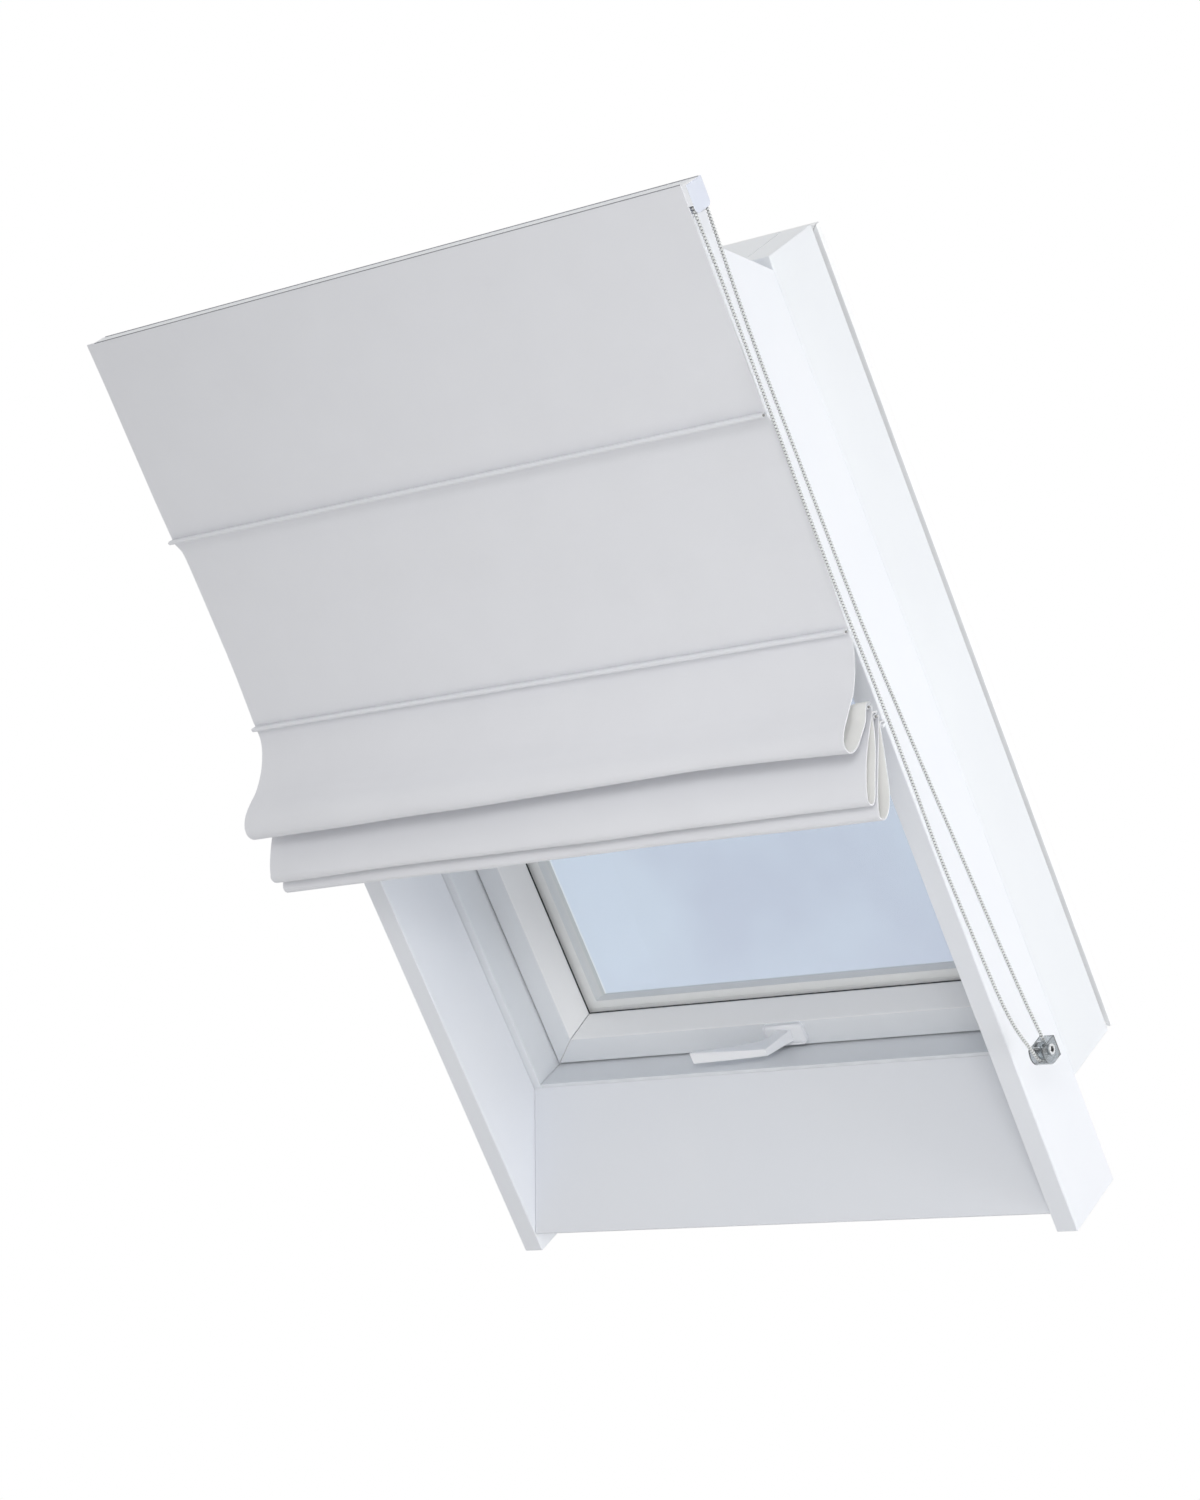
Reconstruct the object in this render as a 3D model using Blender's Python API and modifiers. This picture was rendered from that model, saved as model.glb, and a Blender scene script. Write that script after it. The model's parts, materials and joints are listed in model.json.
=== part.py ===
"""A Roman blind on a roof window, with the window and the lining that it is fitted to.

Everything is built in the roof's own frame: X runs to the right, Y up the slope and Z into the
room. Y is 0 just below the top of the headrail and Z is 0 at the front edges of the lining
boards. The empty roof_plane tilts that frame to the roof's pitch and puts the world's origin on
the middle of the window frame's top face.
"""
import math

import bmesh
import bpy
from mathutils import Matrix, Vector

# Roof and clearances
ROOF_PITCH = math.radians(54.5)
GAP = 0.0003            # between two pieces that touch
CUT_PAST = 0.005        # how far a cutter runs past what it cuts
ROUND_SEGMENTS = 24

# Lining boards round the opening
LINING_WIDTH = 0.726    # clear width between the side boards
BOARD_THICK = 0.027
BOARD_DEPTH = 0.104     # from the front edges to the window frame
BOARD_TOP = 0.016       # down the slope from Y = 0, as are all the sizes named TOP or DOWN
BOARD_END = 1.237
BOARD_EASE = 0.0012     # eased edges
BATTEN_DEPTH = 0.027
HEAD_THICK = 0.015
SILL_THICK = 0.015
LINING_LIP = 0.004      # frame face that shows above the sill and below the head

# Window frame
FRAME_WIDTH = 0.780
FRAME_HEIGHT = 0.980
FRAME_TOP = 0.120       # outer top face
FRAME_FACE = 0.0374
FRAME_DEPTH = 0.096

# Sash and glazing
SASH_PLAY = 0.0026      # round the sash, inside the frame
SASH_SETBACK = 0.046    # sash face behind the frame face
SASH_FACE = 0.032
SASH_BEVEL = 0.016
BEVEL_DEPTH = 0.032
LIP_THICK = 0.0017      # edge of the sash's lip over the glass
REBATE = 0.012          # glass held behind the sash's lip
PANE_PLAY = 0.001       # round the glass, in the rebate
GLASS_THICK = 0.004
GLASS_SPACE = 0.0154
SPACER_SHOW = 0.014     # spacer seen inside the lip
SPACER_WIDTH = 0.010
GASKET_WIDTH = 0.0022
GASKET_HEIGHT = 0.0045
COVER_THICK = 0.012
COVER_LAP = 0.022       # outer cover over the glass, past the rebate
COVER_CHAMFER = 0.004

# Sash hinges at the top
HINGE_INSET = 0.180     # from the side of the window frame
HINGE_LENGTH = 0.060
HINGE_KNUCKLE = 0.0045
HINGE_LIFT = 0.0005     # knuckle above the fixed leaf's underside
HINGE_PIN = 0.002
HINGE_PLAY = 0.0003
HINGE_LEAF = 0.0025
HINGE_REACH = 0.040

# Handle on the bottom rail
HANDLE_RISE = 0.017     # above the sash's bottom edge
ROSETTE_WIDTH = 0.056
ROSETTE_HEIGHT = 0.028
ROSETTE_THICK = 0.005
ROSETTE_EASE = 0.002
SPINDLE_END = 0.0115    # half the lever's width where it meets the rosette
LEVER_STAND = 0.045     # lever's face in front of the sash face
LEVER_LENGTH = 0.113    # from the spindle to the tip
LEVER_HALF_TIP = 0.0075
LEVER_HALF_ELBOW = 0.0047
LEVER_THIN = 0.005      # thickness at the tip
LEVER_EASE = 0.0012

# Headrail
RAIL_LEFT = -0.4043
RAIL_RIGHT = 0.4137
RAIL_TOP = -0.001
RAIL_HEIGHT = 0.034
RAIL_BACK = 0.0097      # in front of the boards
RAIL_DEPTH = 0.0263
RAIL_WALL = 0.0015
RAIL_LIP = 0.005
END_CAP_THICK = 0.0045
END_CAP_EASE = 0.001
BRACKET_INSET = 0.135   # from each end of the headrail
BRACKET_DROP = 0.002    # below the boards' top
BRACKET_WIDTH = 0.040
BRACKET_WALL = 0.002
BRACKET_HEIGHT = 0.012
TOUCH_STRIP_DROP = 0.004
TOUCH_STRIP_INSET = 0.006
TOUCH_STRIP_HEIGHT = 0.020
TOUCH_STRIP_THICK = 0.001

# Drive: shaft, spools, sprocket and housing
SHAFT_DOWN = 0.015
SHAFT_FRONT = 0.022
SHAFT_RADIUS = 0.003
SHAFT_INSET = 0.012     # shaft's left end from the rail's
BEARING_RUNNING = 0.0004
BEARING_WIDTH = 0.010
BEARING_INSET = 0.034   # from each end of the headrail
SPOOL_RADIUS = 0.006
SPOOL_FLANGE = 0.0085
SPOOL_LENGTH = 0.034
SPOOL_RIM = 0.002
SPOOL_INSET = 0.110     # outer spools from the fabric's edges
HOUSING_THICK = 0.0073
HOUSING_HEIGHT = 0.0308
HOUSING_WALL = 0.0006
HOUSING_CLEAR = 0.0004  # round the chain
HOUSING_ROUND = 0.006
HOUSING_NOTCH = 0.009   # open front above the bottom edge, for the chain
SPROCKET_THICK = 0.0044
CHAIN_DIAMETER = 0.0045
CHAIN_PITCH_RADIUS = 0.012

# Fabric, pockets and rods
FABRIC_LEFT = -0.4091
FABRIC_RIGHT = 0.4157
FABRIC_THICK = 0.001
POCKET_DEPTH = 0.010
POCKET_HEIGHT = 0.0052
POCKET_WALL = 0.0008
ROD_RADIUS = 0.0014
ROD_SHOW = 0.0012       # rod past the pocket at each end
HEM_BAR_DEPTH = 0.0070
HEM_BAR_THICK = 0.0026
POCKET_DOWN = (0.240, 0.481, 0.562, 0.576, 0.590)
POCKET_FRONT = (0.0435, 0.0435, 0.0535, 0.0475, 0.0415)  # in front of the boards

# Slat across the opening, behind the folds
SLAT_DOWN = 0.584
SLAT_HEIGHT = 0.050
SLAT_THICK = 0.008
SLAT_EASE = 0.001

# Chain tensioner
TENSIONER_X = 0.4455     # middle of the chain at the wheel
TENSIONER_DOWN = 0.9915  # wheel's middle
TENSIONER_FRONT = 0.0265
TENSIONER_LEFT = 0.0058  # outer face of the left cheek, from the chain's middle
TENSIONER_RIGHT = 0.0118
TENSIONER_CHEEK = 0.0014
TENSIONER_WALL = 0.0012  # back and rim
TENSIONER_CLEAR = 0.0005  # round the chain
TENSIONER_RISE = 0.008   # cheeks above the wheel's middle
RIM_END = math.radians(32)  # end of the rim, below the wheel's foremost point
CHAIN_ENTRY = math.radians(20)  # slant of the front strand as it meets the wheel
WHEEL_HALF = 0.004
BOSS_RADIUS = 0.006
SCREW_RUNNING = 0.0003
SCREW_HEAD_RADIUS = 0.0058
SCREW_HEAD_HEIGHT = 0.0022
SCREW_CROSS = (0.0075, 0.0016, 0.0010)  # length, width and depth of the cross
SCREW_RADIUS = 0.0019
SCREW_PAST = 0.004       # screw's end past the left cheek

# Values worked out from the sizes above
HALF_LINING = LINING_WIDTH / 2
HALF_FRAME = FRAME_WIDTH / 2
FRAME_FRONT = -BOARD_DEPTH
FRAME_BACK = FRAME_FRONT - FRAME_DEPTH
FRAME_BOTTOM = FRAME_TOP + FRAME_HEIGHT
FRAME_INSIDE_TOP = FRAME_TOP + FRAME_FACE
FRAME_INSIDE_BOTTOM = FRAME_BOTTOM - FRAME_FACE
SASH_HALF = HALF_FRAME - FRAME_FACE - SASH_PLAY
SASH_TOP = FRAME_INSIDE_TOP + SASH_PLAY
SASH_BOTTOM = FRAME_INSIDE_BOTTOM - SASH_PLAY
SASH_FRONT = FRAME_FRONT - SASH_SETBACK
LIP_WIDTH = SASH_FACE + SASH_BEVEL
LIP_BACK = SASH_FRONT - BEVEL_DEPTH - LIP_THICK
PANE_FRONT = LIP_BACK - GAP
SPACER_FRONT = PANE_FRONT - GLASS_THICK - GAP
OUTER_PANE_FRONT = SPACER_FRONT - GLASS_SPACE - GAP
GLAZING_BACK = OUTER_PANE_FRONT - GLASS_THICK
REBATE_WIDTH = LIP_WIDTH - REBATE
COVER_FRONT = min(GLAZING_BACK, FRAME_BACK) - 2 * GAP
COVER_BACK = COVER_FRONT - COVER_THICK
LEAF_TOP = FRAME_TOP + GAP
LEAF_BOTTOM = LEAF_TOP + HINGE_LEAF
COVER_TOP = LEAF_BOTTOM + GAP
HINGE_PLACE = HALF_FRAME - HINGE_INSET
HINGE_Y = -(LEAF_BOTTOM - HINGE_KNUCKLE - HINGE_LIFT)
HINGE_Z = (COVER_FRONT + COVER_BACK) / 2
HANDLE_Y = -(SASH_BOTTOM - HANDLE_RISE)
RAIL_BOTTOM = RAIL_TOP + RAIL_HEIGHT
RAIL_FRONT = RAIL_BACK + RAIL_DEPTH
SHAFT_Y = -SHAFT_DOWN
CHAIN_REACH = CHAIN_PITCH_RADIUS + CHAIN_DIAMETER / 2
HOUSING_BOTTOM = RAIL_TOP + HOUSING_HEIGHT
HOUSING_BACK = SHAFT_FRONT - CHAIN_REACH - HOUSING_CLEAR - HOUSING_WALL
HOUSING_FRONT = SHAFT_FRONT + CHAIN_REACH + HOUSING_CLEAR + HOUSING_WALL
CHAIN_X = RAIL_RIGHT + GAP + HOUSING_THICK / 2
WHEEL_RADIUS = CHAIN_PITCH_RADIUS - CHAIN_DIAMETER / 2 - GAP
RIM_INSIDE = CHAIN_REACH + TENSIONER_CLEAR
RIM_OUTSIDE = RIM_INSIDE + TENSIONER_WALL
MOUNT_POINT = Vector((0, -FRAME_TOP, (FRAME_FRONT + FRAME_BACK) / 2))

# Fabric profiles between the pockets, as down and front in metres
PANEL_PROFILES = (
    ((-0.0029, 0.0382), (0.060, 0.0384), (0.120, 0.0390), (0.190, 0.0395), (0.2368, 0.0400)),
    ((0.2432, 0.0388), (0.2470, 0.0364), (0.2557, 0.0328), (0.268, 0.0314), (0.319, 0.0322),
     (0.398, 0.0350), (0.450, 0.0378), (0.4778, 0.0398)),
    ((0.4842, 0.0390), (0.4930, 0.0386), (0.508, 0.0440), (0.526, 0.0570), (0.5405, 0.0740),
     (0.550, 0.0930), (0.559, 0.1090), (0.570, 0.1185), (0.5795, 0.1195), (0.5865, 0.1120),
     (0.5860, 0.0990), (0.5785, 0.0820), (0.5695, 0.0680), (0.5605, 0.0605), (0.5565, 0.0550),
     (0.5578, 0.0492)),
    ((0.5655, 0.0486), (0.5684, 0.0530), (0.5780, 0.0650), (0.598, 0.0875), (0.615, 0.1030),
     (0.629, 0.1130), (0.639, 0.1160), (0.6465, 0.1115), (0.6435, 0.1030), (0.624, 0.0880),
     (0.600, 0.0698), (0.5790, 0.0572), (0.5724, 0.0545), (0.5708, 0.0500), (0.5716, 0.0430)),
    ((0.5795, 0.0426), (0.5830, 0.0480), (0.600, 0.0620), (0.626, 0.0835), (0.646, 0.0985),
     (0.657, 0.1050), (0.6655, 0.1035), (0.6680, 0.0960), (0.6625, 0.0850), (0.6480, 0.0730),
     (0.622, 0.0610), (0.6010, 0.0532), (0.5925, 0.0498), (0.5868, 0.0474), (0.5852, 0.0430),
     (0.5856, 0.0372)),
)

# Chain's two strands between the sprocket and the tensioner, as down and front in metres
BACK_STRAND = ((0.0150, 0.0100), (0.0300, 0.0110), (0.070, 0.0150), (0.120, 0.0202),
               (0.190, 0.0256), (0.280, 0.0285), (0.375, 0.0318), (0.475, 0.0348),
               (0.570, 0.0328), (0.670, 0.0300), (0.770, 0.0262), (0.870, 0.0228),
               (0.945, 0.0186), (0.9800, 0.0150))
FRONT_STRAND = ((0.975, 0.0453), (0.957, 0.0518), (0.932, 0.0578), (0.895, 0.0612),
                (0.840, 0.0626), (0.780, 0.0634), (0.725, 0.0632), (0.665, 0.0598),
                (0.600, 0.0567), (0.520, 0.0546), (0.420, 0.0528), (0.320, 0.0480),
                (0.221, 0.0423), (0.150, 0.0382), (0.090, 0.0350), (0.0300, 0.0340),
                (0.0150, 0.0340))

# A clean file, with one collection for the model and one for its cutters
for old in list(bpy.data.objects):
    bpy.data.objects.remove(old, do_unlink=True)
model = bpy.data.collections.new("roof_window_blind")
cutters = bpy.data.collections.new("cutters")
bpy.context.scene.collection.children.link(model)
bpy.context.scene.collection.children.link(cutters)


def finish_material(name, colour, roughness, metallic=0.0, alpha=1.0, transmission=0.0):
    """A Principled material from an sRGB hex colour."""
    parts = [int(colour[i:i + 2], 16) / 255 for i in (0, 2, 4)]
    linear = [c / 12.92 if c <= 0.04045 else ((c + 0.055) / 1.055) ** 2.4 for c in parts]
    made = bpy.data.materials.new(name)
    made.use_nodes = True
    shader = made.node_tree.nodes["Principled BSDF"]
    shader.inputs["Base Color"].default_value = (*linear, 1.0)
    shader.inputs["Roughness"].default_value = roughness
    shader.inputs["Metallic"].default_value = metallic
    shader.inputs["Alpha"].default_value = alpha
    shader.inputs["Transmission Weight"].default_value = transmission
    made.diffuse_color = (*linear, alpha)
    return made


painted_board = finish_material("painted_board", "EEF0F4", 0.45)
window_pvc = finish_material("window_pvc", "F2F4F6", 0.30)
roof_cover = finish_material("coated_cover", "E4E6E8", 0.40)
clear_glass = finish_material("glass", "DCE6EC", 0.03, 0.0, 0.35, 1.0)
black_rubber = finish_material("rubber", "18191B", 0.75)
spacer_bar = finish_material("spacer_bar", "DADDE0", 0.35, 0.3)
blind_fabric = finish_material("blind_fabric", "D3D5D9", 0.85)
white_aluminium = finish_material("white_aluminium", "E8EAEC", 0.35)
white_plastic = finish_material("white_plastic", "EDF0F4", 0.35)
zinc_steel = finish_material("zinc_steel", "B9BCBF", 0.30, 0.9)
chain_plastic = finish_material("chain_plastic", "E6E8EA", 0.30)
clear_plastic = finish_material("clear_plastic", "E4E8EA", 0.12, 0.0, 0.5, 0.8)
glass_fibre = finish_material("glass_fibre", "F0F0EE", 0.40)


def pivot_empty(name, place=(0, 0, 0), parent=None):
    """An empty on a joint's axis; place is in the roof's frame."""
    made = bpy.data.objects.new(name, None)
    made.empty_display_size = 0.05
    made.parent = parent
    made.location = place
    model.objects.link(made)
    return made


roof = pivot_empty("roof_plane")
roof.rotation_euler = (math.pi - ROOF_PITCH, 0, 0)
roof.location = -(Matrix.Rotation(math.pi - ROOF_PITCH, 3, "X") @ MOUNT_POINT)
sash_pivot = pivot_empty("sash_pivot", (0, HINGE_Y, HINGE_Z), roof)
handle_pivot = pivot_empty("handle_pivot", (0, HANDLE_Y, SASH_FRONT), roof)
shaft_pivot = pivot_empty("shaft_pivot", (0, SHAFT_Y, SHAFT_FRONT), roof)
wheel_pivot = pivot_empty("wheel_pivot", (TENSIONER_X, -TENSIONER_DOWN, TENSIONER_FRONT), roof)
pocket_pivots = [pivot_empty(f"pocket_pivot_{i}", (0, -down, front), roof)
                 for i, (down, front) in enumerate(zip(POCKET_DOWN, POCKET_FRONT), 1)]


def place_mesh(name, bm, material, pivot=None, ease=0.0, smooth=False, guide=False):
    """Make an object of a bmesh drawn in the roof's frame, with its origin on its pivot."""
    pivot = pivot or roof
    if pivot is not roof:
        bmesh.ops.translate(bm, verts=bm.verts, vec=-pivot.location)
    bmesh.ops.recalc_face_normals(bm, faces=bm.faces)
    mesh = bpy.data.meshes.new(name)
    bm.to_mesh(mesh)
    bm.free()
    if smooth:
        mesh.shade_smooth()
        mesh.set_sharp_from_angle(angle=math.radians(35))
    made = bpy.data.objects.new(name, mesh)
    made.parent = pivot
    (cutters if guide else model).objects.link(made)
    if guide:
        made.hide_render = True
        made.display_type = "WIRE"
    else:
        mesh.materials.append(material)
    if ease:
        eased = made.modifiers.new("eased_edges", "BEVEL")
        eased.width = ease
        eased.segments = 2
        eased.limit_method = "ANGLE"
        eased.angle_limit = math.radians(40)
    return made


def box_shape(x, down, front):
    """A box between pairs of limits: x, distance down the slope and distance into the room."""
    bm = bmesh.new()
    middle = Vector((sum(x) / 2, -sum(down) / 2, sum(front) / 2))
    size = Vector((abs(x[1] - x[0]), abs(down[1] - down[0]), abs(front[1] - front[0])))
    bmesh.ops.create_cube(bm, size=1, matrix=Matrix.Translation(middle) @ Matrix.Diagonal((*size, 1)))
    return bm


def round_shape(axis, middle, radius, length, top_radius=None, segments=ROUND_SEGMENTS):
    """A cylinder or cone along X or Z; middle is in the roof's frame."""
    bm = bmesh.new()
    turn = Matrix.Rotation(math.pi / 2, 4, "Y") if axis == "X" else Matrix.Identity(4)
    bmesh.ops.create_cone(bm, cap_ends=True, segments=segments, radius1=radius,
                          radius2=radius if top_radius is None else top_radius, depth=length,
                          matrix=Matrix.Translation(middle) @ turn)
    return bm


def section_shape(section, x):
    """A section of (down, front) points, drawn out along X."""
    bm = bmesh.new()
    face = bm.faces.new([bm.verts.new((x[0], -down, front)) for down, front in section])
    drawn = bmesh.ops.extrude_face_region(bm, geom=[face])
    moved = [g for g in drawn["geom"] if isinstance(g, bmesh.types.BMVert)]
    bmesh.ops.translate(bm, verts=moved, vec=(x[1] - x[0], 0, 0))
    return bm


def boolean(target, guide, operation="DIFFERENCE"):
    """Cut a guide out of an object, or join it on."""
    step = target.modifiers.new(guide.name, "BOOLEAN")
    step.operation = operation
    step.solver = "EXACT"
    step.object = guide
    return target


def guide_of(name, bm, pivot=None):
    return place_mesh(name, bm, None, pivot, guide=True)


def smooth_points(points, steps):
    """Points of a smooth curve through the given ones, with the given steps in each span."""
    ends = [Vector(p) for p in points]
    ends = [2 * ends[0] - ends[1], *ends, 2 * ends[-1] - ends[-2]]
    curve = []
    for i in range(1, len(ends) - 2):
        a, b, c, d = ends[i - 1:i + 3]
        for k in range(steps):
            t = k / steps
            curve.append(0.5 * (2 * b + (c - a) * t + (2 * a - 5 * b + 4 * c - d) * t ** 2
                                + (3 * b - a - 3 * c + d) * t ** 3))
    return curve + [ends[-2]]


def lining():
    """Side boards, level head board, upright sill board and the batten for the blind."""
    slope_in = 1 / math.tan(ROOF_PITCH)      # head board: down per depth
    slope_out = math.tan(ROOF_PITCH)         # sill board: up per depth
    back = FRAME_FRONT + GAP
    head_back = FRAME_INSIDE_TOP - LINING_LIP
    head_front = head_back - slope_in * -back
    head_rise = HEAD_THICK / math.sin(ROOF_PITCH)
    batten_end = head_front - head_rise - GAP
    side = ((BOARD_TOP, 0), (BOARD_TOP, -BATTEN_DEPTH),
            (batten_end + slope_in * BATTEN_DEPTH, -BATTEN_DEPTH),
            (head_back - head_rise, back), (BOARD_END, back), (BOARD_END, 0))
    for name, sign in (("lining_left", -1), ("lining_right", 1)):
        reach = sorted((sign * HALF_LINING, sign * (HALF_LINING + BOARD_THICK)))
        place_mesh(name, section_shape(side, reach), painted_board, ease=BOARD_EASE)
    between = (-HALF_LINING + GAP, HALF_LINING - GAP)
    head = ((head_front, 0), (head_front - head_rise, 0), (head_back - head_rise, back),
            (head_back, back))
    place_mesh("lining_head", section_shape(head, between), painted_board)
    sill_back = FRAME_INSIDE_BOTTOM + LINING_LIP
    sill_front = sill_back - slope_out * back
    out_down = SILL_THICK * math.cos(ROOF_PITCH)
    out_back = SILL_THICK * math.sin(ROOF_PITCH)
    sill = ((sill_front, 0), (sill_front + out_down, -out_back),
            (sill_back + SILL_THICK / math.cos(ROOF_PITCH), back), (sill_back, back))
    place_mesh("lining_sill", section_shape(sill, between), painted_board)
    batten = box_shape(between, (BOARD_TOP, batten_end), (-BATTEN_DEPTH, 0))
    place_mesh("mounting_batten", batten, painted_board, ease=BOARD_EASE)


def window_frame():
    """Two stiles with the rails between them."""
    inside = HALF_FRAME - FRAME_FACE
    depth = (FRAME_BACK, FRAME_FRONT)
    for name, sign in (("frame_left", -1), ("frame_right", 1)):
        reach = sorted((sign * inside, sign * HALF_FRAME))
        place_mesh(name, box_shape(reach, (FRAME_TOP, FRAME_BOTTOM), depth), window_pvc,
                   ease=BOARD_EASE)
    across = (-inside + GAP, inside - GAP)
    top = place_mesh("frame_top", box_shape(across, (FRAME_TOP, FRAME_INSIDE_TOP), depth),
                     window_pvc)
    for side, x in (("left", -HINGE_PLACE), ("right", HINGE_PLACE)):
        half = HINGE_LENGTH / 6 + GAP
        recess = box_shape((x - half, x + half), (FRAME_TOP - CUT_PAST, LEAF_BOTTOM + GAP),
                           (FRAME_BACK - CUT_PAST, FRAME_BACK + HINGE_REACH + GAP))
        boolean(top, guide_of(f"leaf_recess_{side}", recess))
    place_mesh("frame_bottom", box_shape(across, (FRAME_INSIDE_BOTTOM, FRAME_BOTTOM), depth),
               window_pvc)


def mitred_rails(prefix, section, half_width, top, bottom, material, pivot):
    """Four rails of one section of (inward, front) points, mitred at the corners."""
    middle = -(top + bottom) / 2
    height = bottom - top
    sides = {
        "left": (height, Vector((-half_width, middle, 0)), Vector((0, 1, 0)), Vector((1, 0, 0))),
        "right": (height, Vector((half_width, middle, 0)), Vector((0, 1, 0)), Vector((-1, 0, 0))),
        "top": (2 * half_width, Vector((0, -top, 0)), Vector((1, 0, 0)), Vector((0, -1, 0))),
        "bottom": (2 * half_width, Vector((0, -bottom, 0)), Vector((1, 0, 0)), Vector((0, 1, 0))),
    }
    for side, (length, start, along, inward) in sides.items():
        bm = bmesh.new()
        face = bm.faces.new([bm.verts.new((inset + GAP - length / 2, inset, front))
                             for inset, front in section])
        drawn = bmesh.ops.extrude_face_region(bm, geom=[face])
        for vert in (g for g in drawn["geom"] if isinstance(g, bmesh.types.BMVert)):
            vert.co.x = -vert.co.x
        for vert in bm.verts:
            run, inset, front = vert.co
            vert.co = start + along * run + inward * inset + Vector((0, 0, front))
        place_mesh(f"{prefix}_{side}", bm, material, pivot)


def ring_shape(half_width, top, bottom, width, front):
    """A rectangular ring, drawn out between two depths."""
    bm = bmesh.new()
    loops = []
    for inset in (0, width):
        x, y0, y1 = half_width - inset, -top - inset, -bottom + inset
        loops.append([bm.verts.new(p) for p in ((-x, y0, front[0]), (x, y0, front[0]),
                                                (x, y1, front[0]), (-x, y1, front[0]))])
    faces = [bm.faces.new((loops[0][i], loops[0][(i + 1) % 4], loops[1][(i + 1) % 4], loops[1][i]))
             for i in range(4)]
    drawn = bmesh.ops.extrude_face_region(bm, geom=faces)
    moved = [g for g in drawn["geom"] if isinstance(g, bmesh.types.BMVert)]
    bmesh.ops.translate(bm, verts=moved, vec=(0, 0, front[1] - front[0]))
    return bm


def sash():
    """Mitred sash with a double pane, its seals and the outer cover."""
    section = ((0, SASH_FRONT), (SASH_FACE, SASH_FRONT),
               (LIP_WIDTH, SASH_FRONT - BEVEL_DEPTH), (LIP_WIDTH, LIP_BACK),
               (REBATE_WIDTH, LIP_BACK), (REBATE_WIDTH, COVER_FRONT + GAP), (0, COVER_FRONT + GAP))
    mitred_rails("sash", section, SASH_HALF, SASH_TOP, SASH_BOTTOM, window_pvc, sash_pivot)
    edge = REBATE_WIDTH + PANE_PLAY
    pane_x = (-SASH_HALF + edge, SASH_HALF - edge)
    pane_down = (SASH_TOP + edge, SASH_BOTTOM - edge)
    for name, front in (("glass_inner", PANE_FRONT), ("glass_outer", OUTER_PANE_FRONT)):
        place_mesh(name, box_shape(pane_x, pane_down, (front - GLASS_THICK, front)), clear_glass,
                   sash_pivot)
    shown = LIP_WIDTH + SPACER_SHOW - SPACER_WIDTH
    spacer = ring_shape(SASH_HALF - shown, SASH_TOP + shown, SASH_BOTTOM - shown, SPACER_WIDTH,
                        (SPACER_FRONT, SPACER_FRONT - GLASS_SPACE))
    place_mesh("glass_spacer", spacer, spacer_bar, sash_pivot)
    seal = LIP_WIDTH + GAP
    gasket = ring_shape(SASH_HALF - seal, SASH_TOP + seal, SASH_BOTTOM - seal, GASKET_WIDTH,
                        (PANE_FRONT + GAP, PANE_FRONT + GAP + GASKET_HEIGHT))
    place_mesh("glazing_gasket", gasket, black_rubber, sash_pivot)
    reach = HALF_FRAME - SASH_HALF + REBATE_WIDTH + COVER_LAP
    slant = COVER_BACK + COVER_CHAMFER
    cover = ((0, COVER_FRONT), (reach, COVER_FRONT), (reach, slant),
             (reach - COVER_CHAMFER, COVER_BACK), (COVER_CHAMFER, COVER_BACK), (0, slant))
    mitred_rails("cover", cover, HALF_FRAME, COVER_TOP, FRAME_BOTTOM, roof_cover, sash_pivot)


def sash_hinges():
    """A fixed leaf with its pin, let into the frame's top, and a moving leaf on the cover."""
    third = HINGE_LENGTH / 3
    for side, sign in (("left", -1), ("right", 1)):
        x = sign * HINGE_PLACE
        axis = Vector((x, HINGE_Y, HINGE_Z))
        leaf = place_mesh(f"hinge_fixed_{side}",
                          box_shape((x - third / 2, x + third / 2), (LEAF_TOP, LEAF_BOTTOM),
                                    (HINGE_Z, FRAME_BACK + HINGE_REACH)), zinc_steel)
        knuckle = round_shape("X", axis, HINGE_KNUCKLE, third - 2 * GAP)
        pin = round_shape("X", axis, HINGE_PIN, HINGE_LENGTH)
        boolean(leaf, guide_of(f"fixed_knuckle_{side}", knuckle), "UNION")
        boolean(leaf, guide_of(f"hinge_pin_{side}", pin), "UNION")
        reach = (-HINGE_Y - HINGE_LEAF, -HINGE_Y + HINGE_REACH)
        plate = box_shape((x - HINGE_LENGTH / 2, x + HINGE_LENGTH / 2), reach,
                          (COVER_BACK - GAP - HINGE_LEAF, COVER_BACK - GAP))
        moving = place_mesh(f"hinge_moving_{side}", plate, zinc_steel, sash_pivot)
        for end in (-1, 1):
            middle = axis + Vector((end * third, 0, 0))
            arm = box_shape((middle.x - third / 2 + GAP, middle.x + third / 2 - GAP),
                            (-HINGE_Y - HINGE_LEAF / 2, -HINGE_Y + HINGE_LEAF / 2),
                            (COVER_BACK - GAP - HINGE_LEAF / 2, HINGE_Z))
            barrel = round_shape("X", middle, HINGE_KNUCKLE, third - 2 * GAP)
            boolean(moving, guide_of(f"arm_{side}_{end}", arm, sash_pivot), "UNION")
            boolean(moving, guide_of(f"barrel_{side}_{end}", barrel, sash_pivot), "UNION")
        bore = round_shape("X", axis, HINGE_PIN + HINGE_PLAY, HINGE_LENGTH + 2 * CUT_PAST)
        gap = box_shape((x - third / 2 - GAP, x + third / 2 + GAP),
                        (-HINGE_Y - 2 * HINGE_KNUCKLE, -HINGE_Y + HINGE_KNUCKLE + GAP),
                        (COVER_BACK - HINGE_LEAF - CUT_PAST, HINGE_Z + HINGE_KNUCKLE + CUT_PAST))
        boolean(moving, guide_of(f"bore_{side}", bore, sash_pivot))
        boolean(moving, guide_of(f"knuckle_gap_{side}", gap, sash_pivot))


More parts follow.
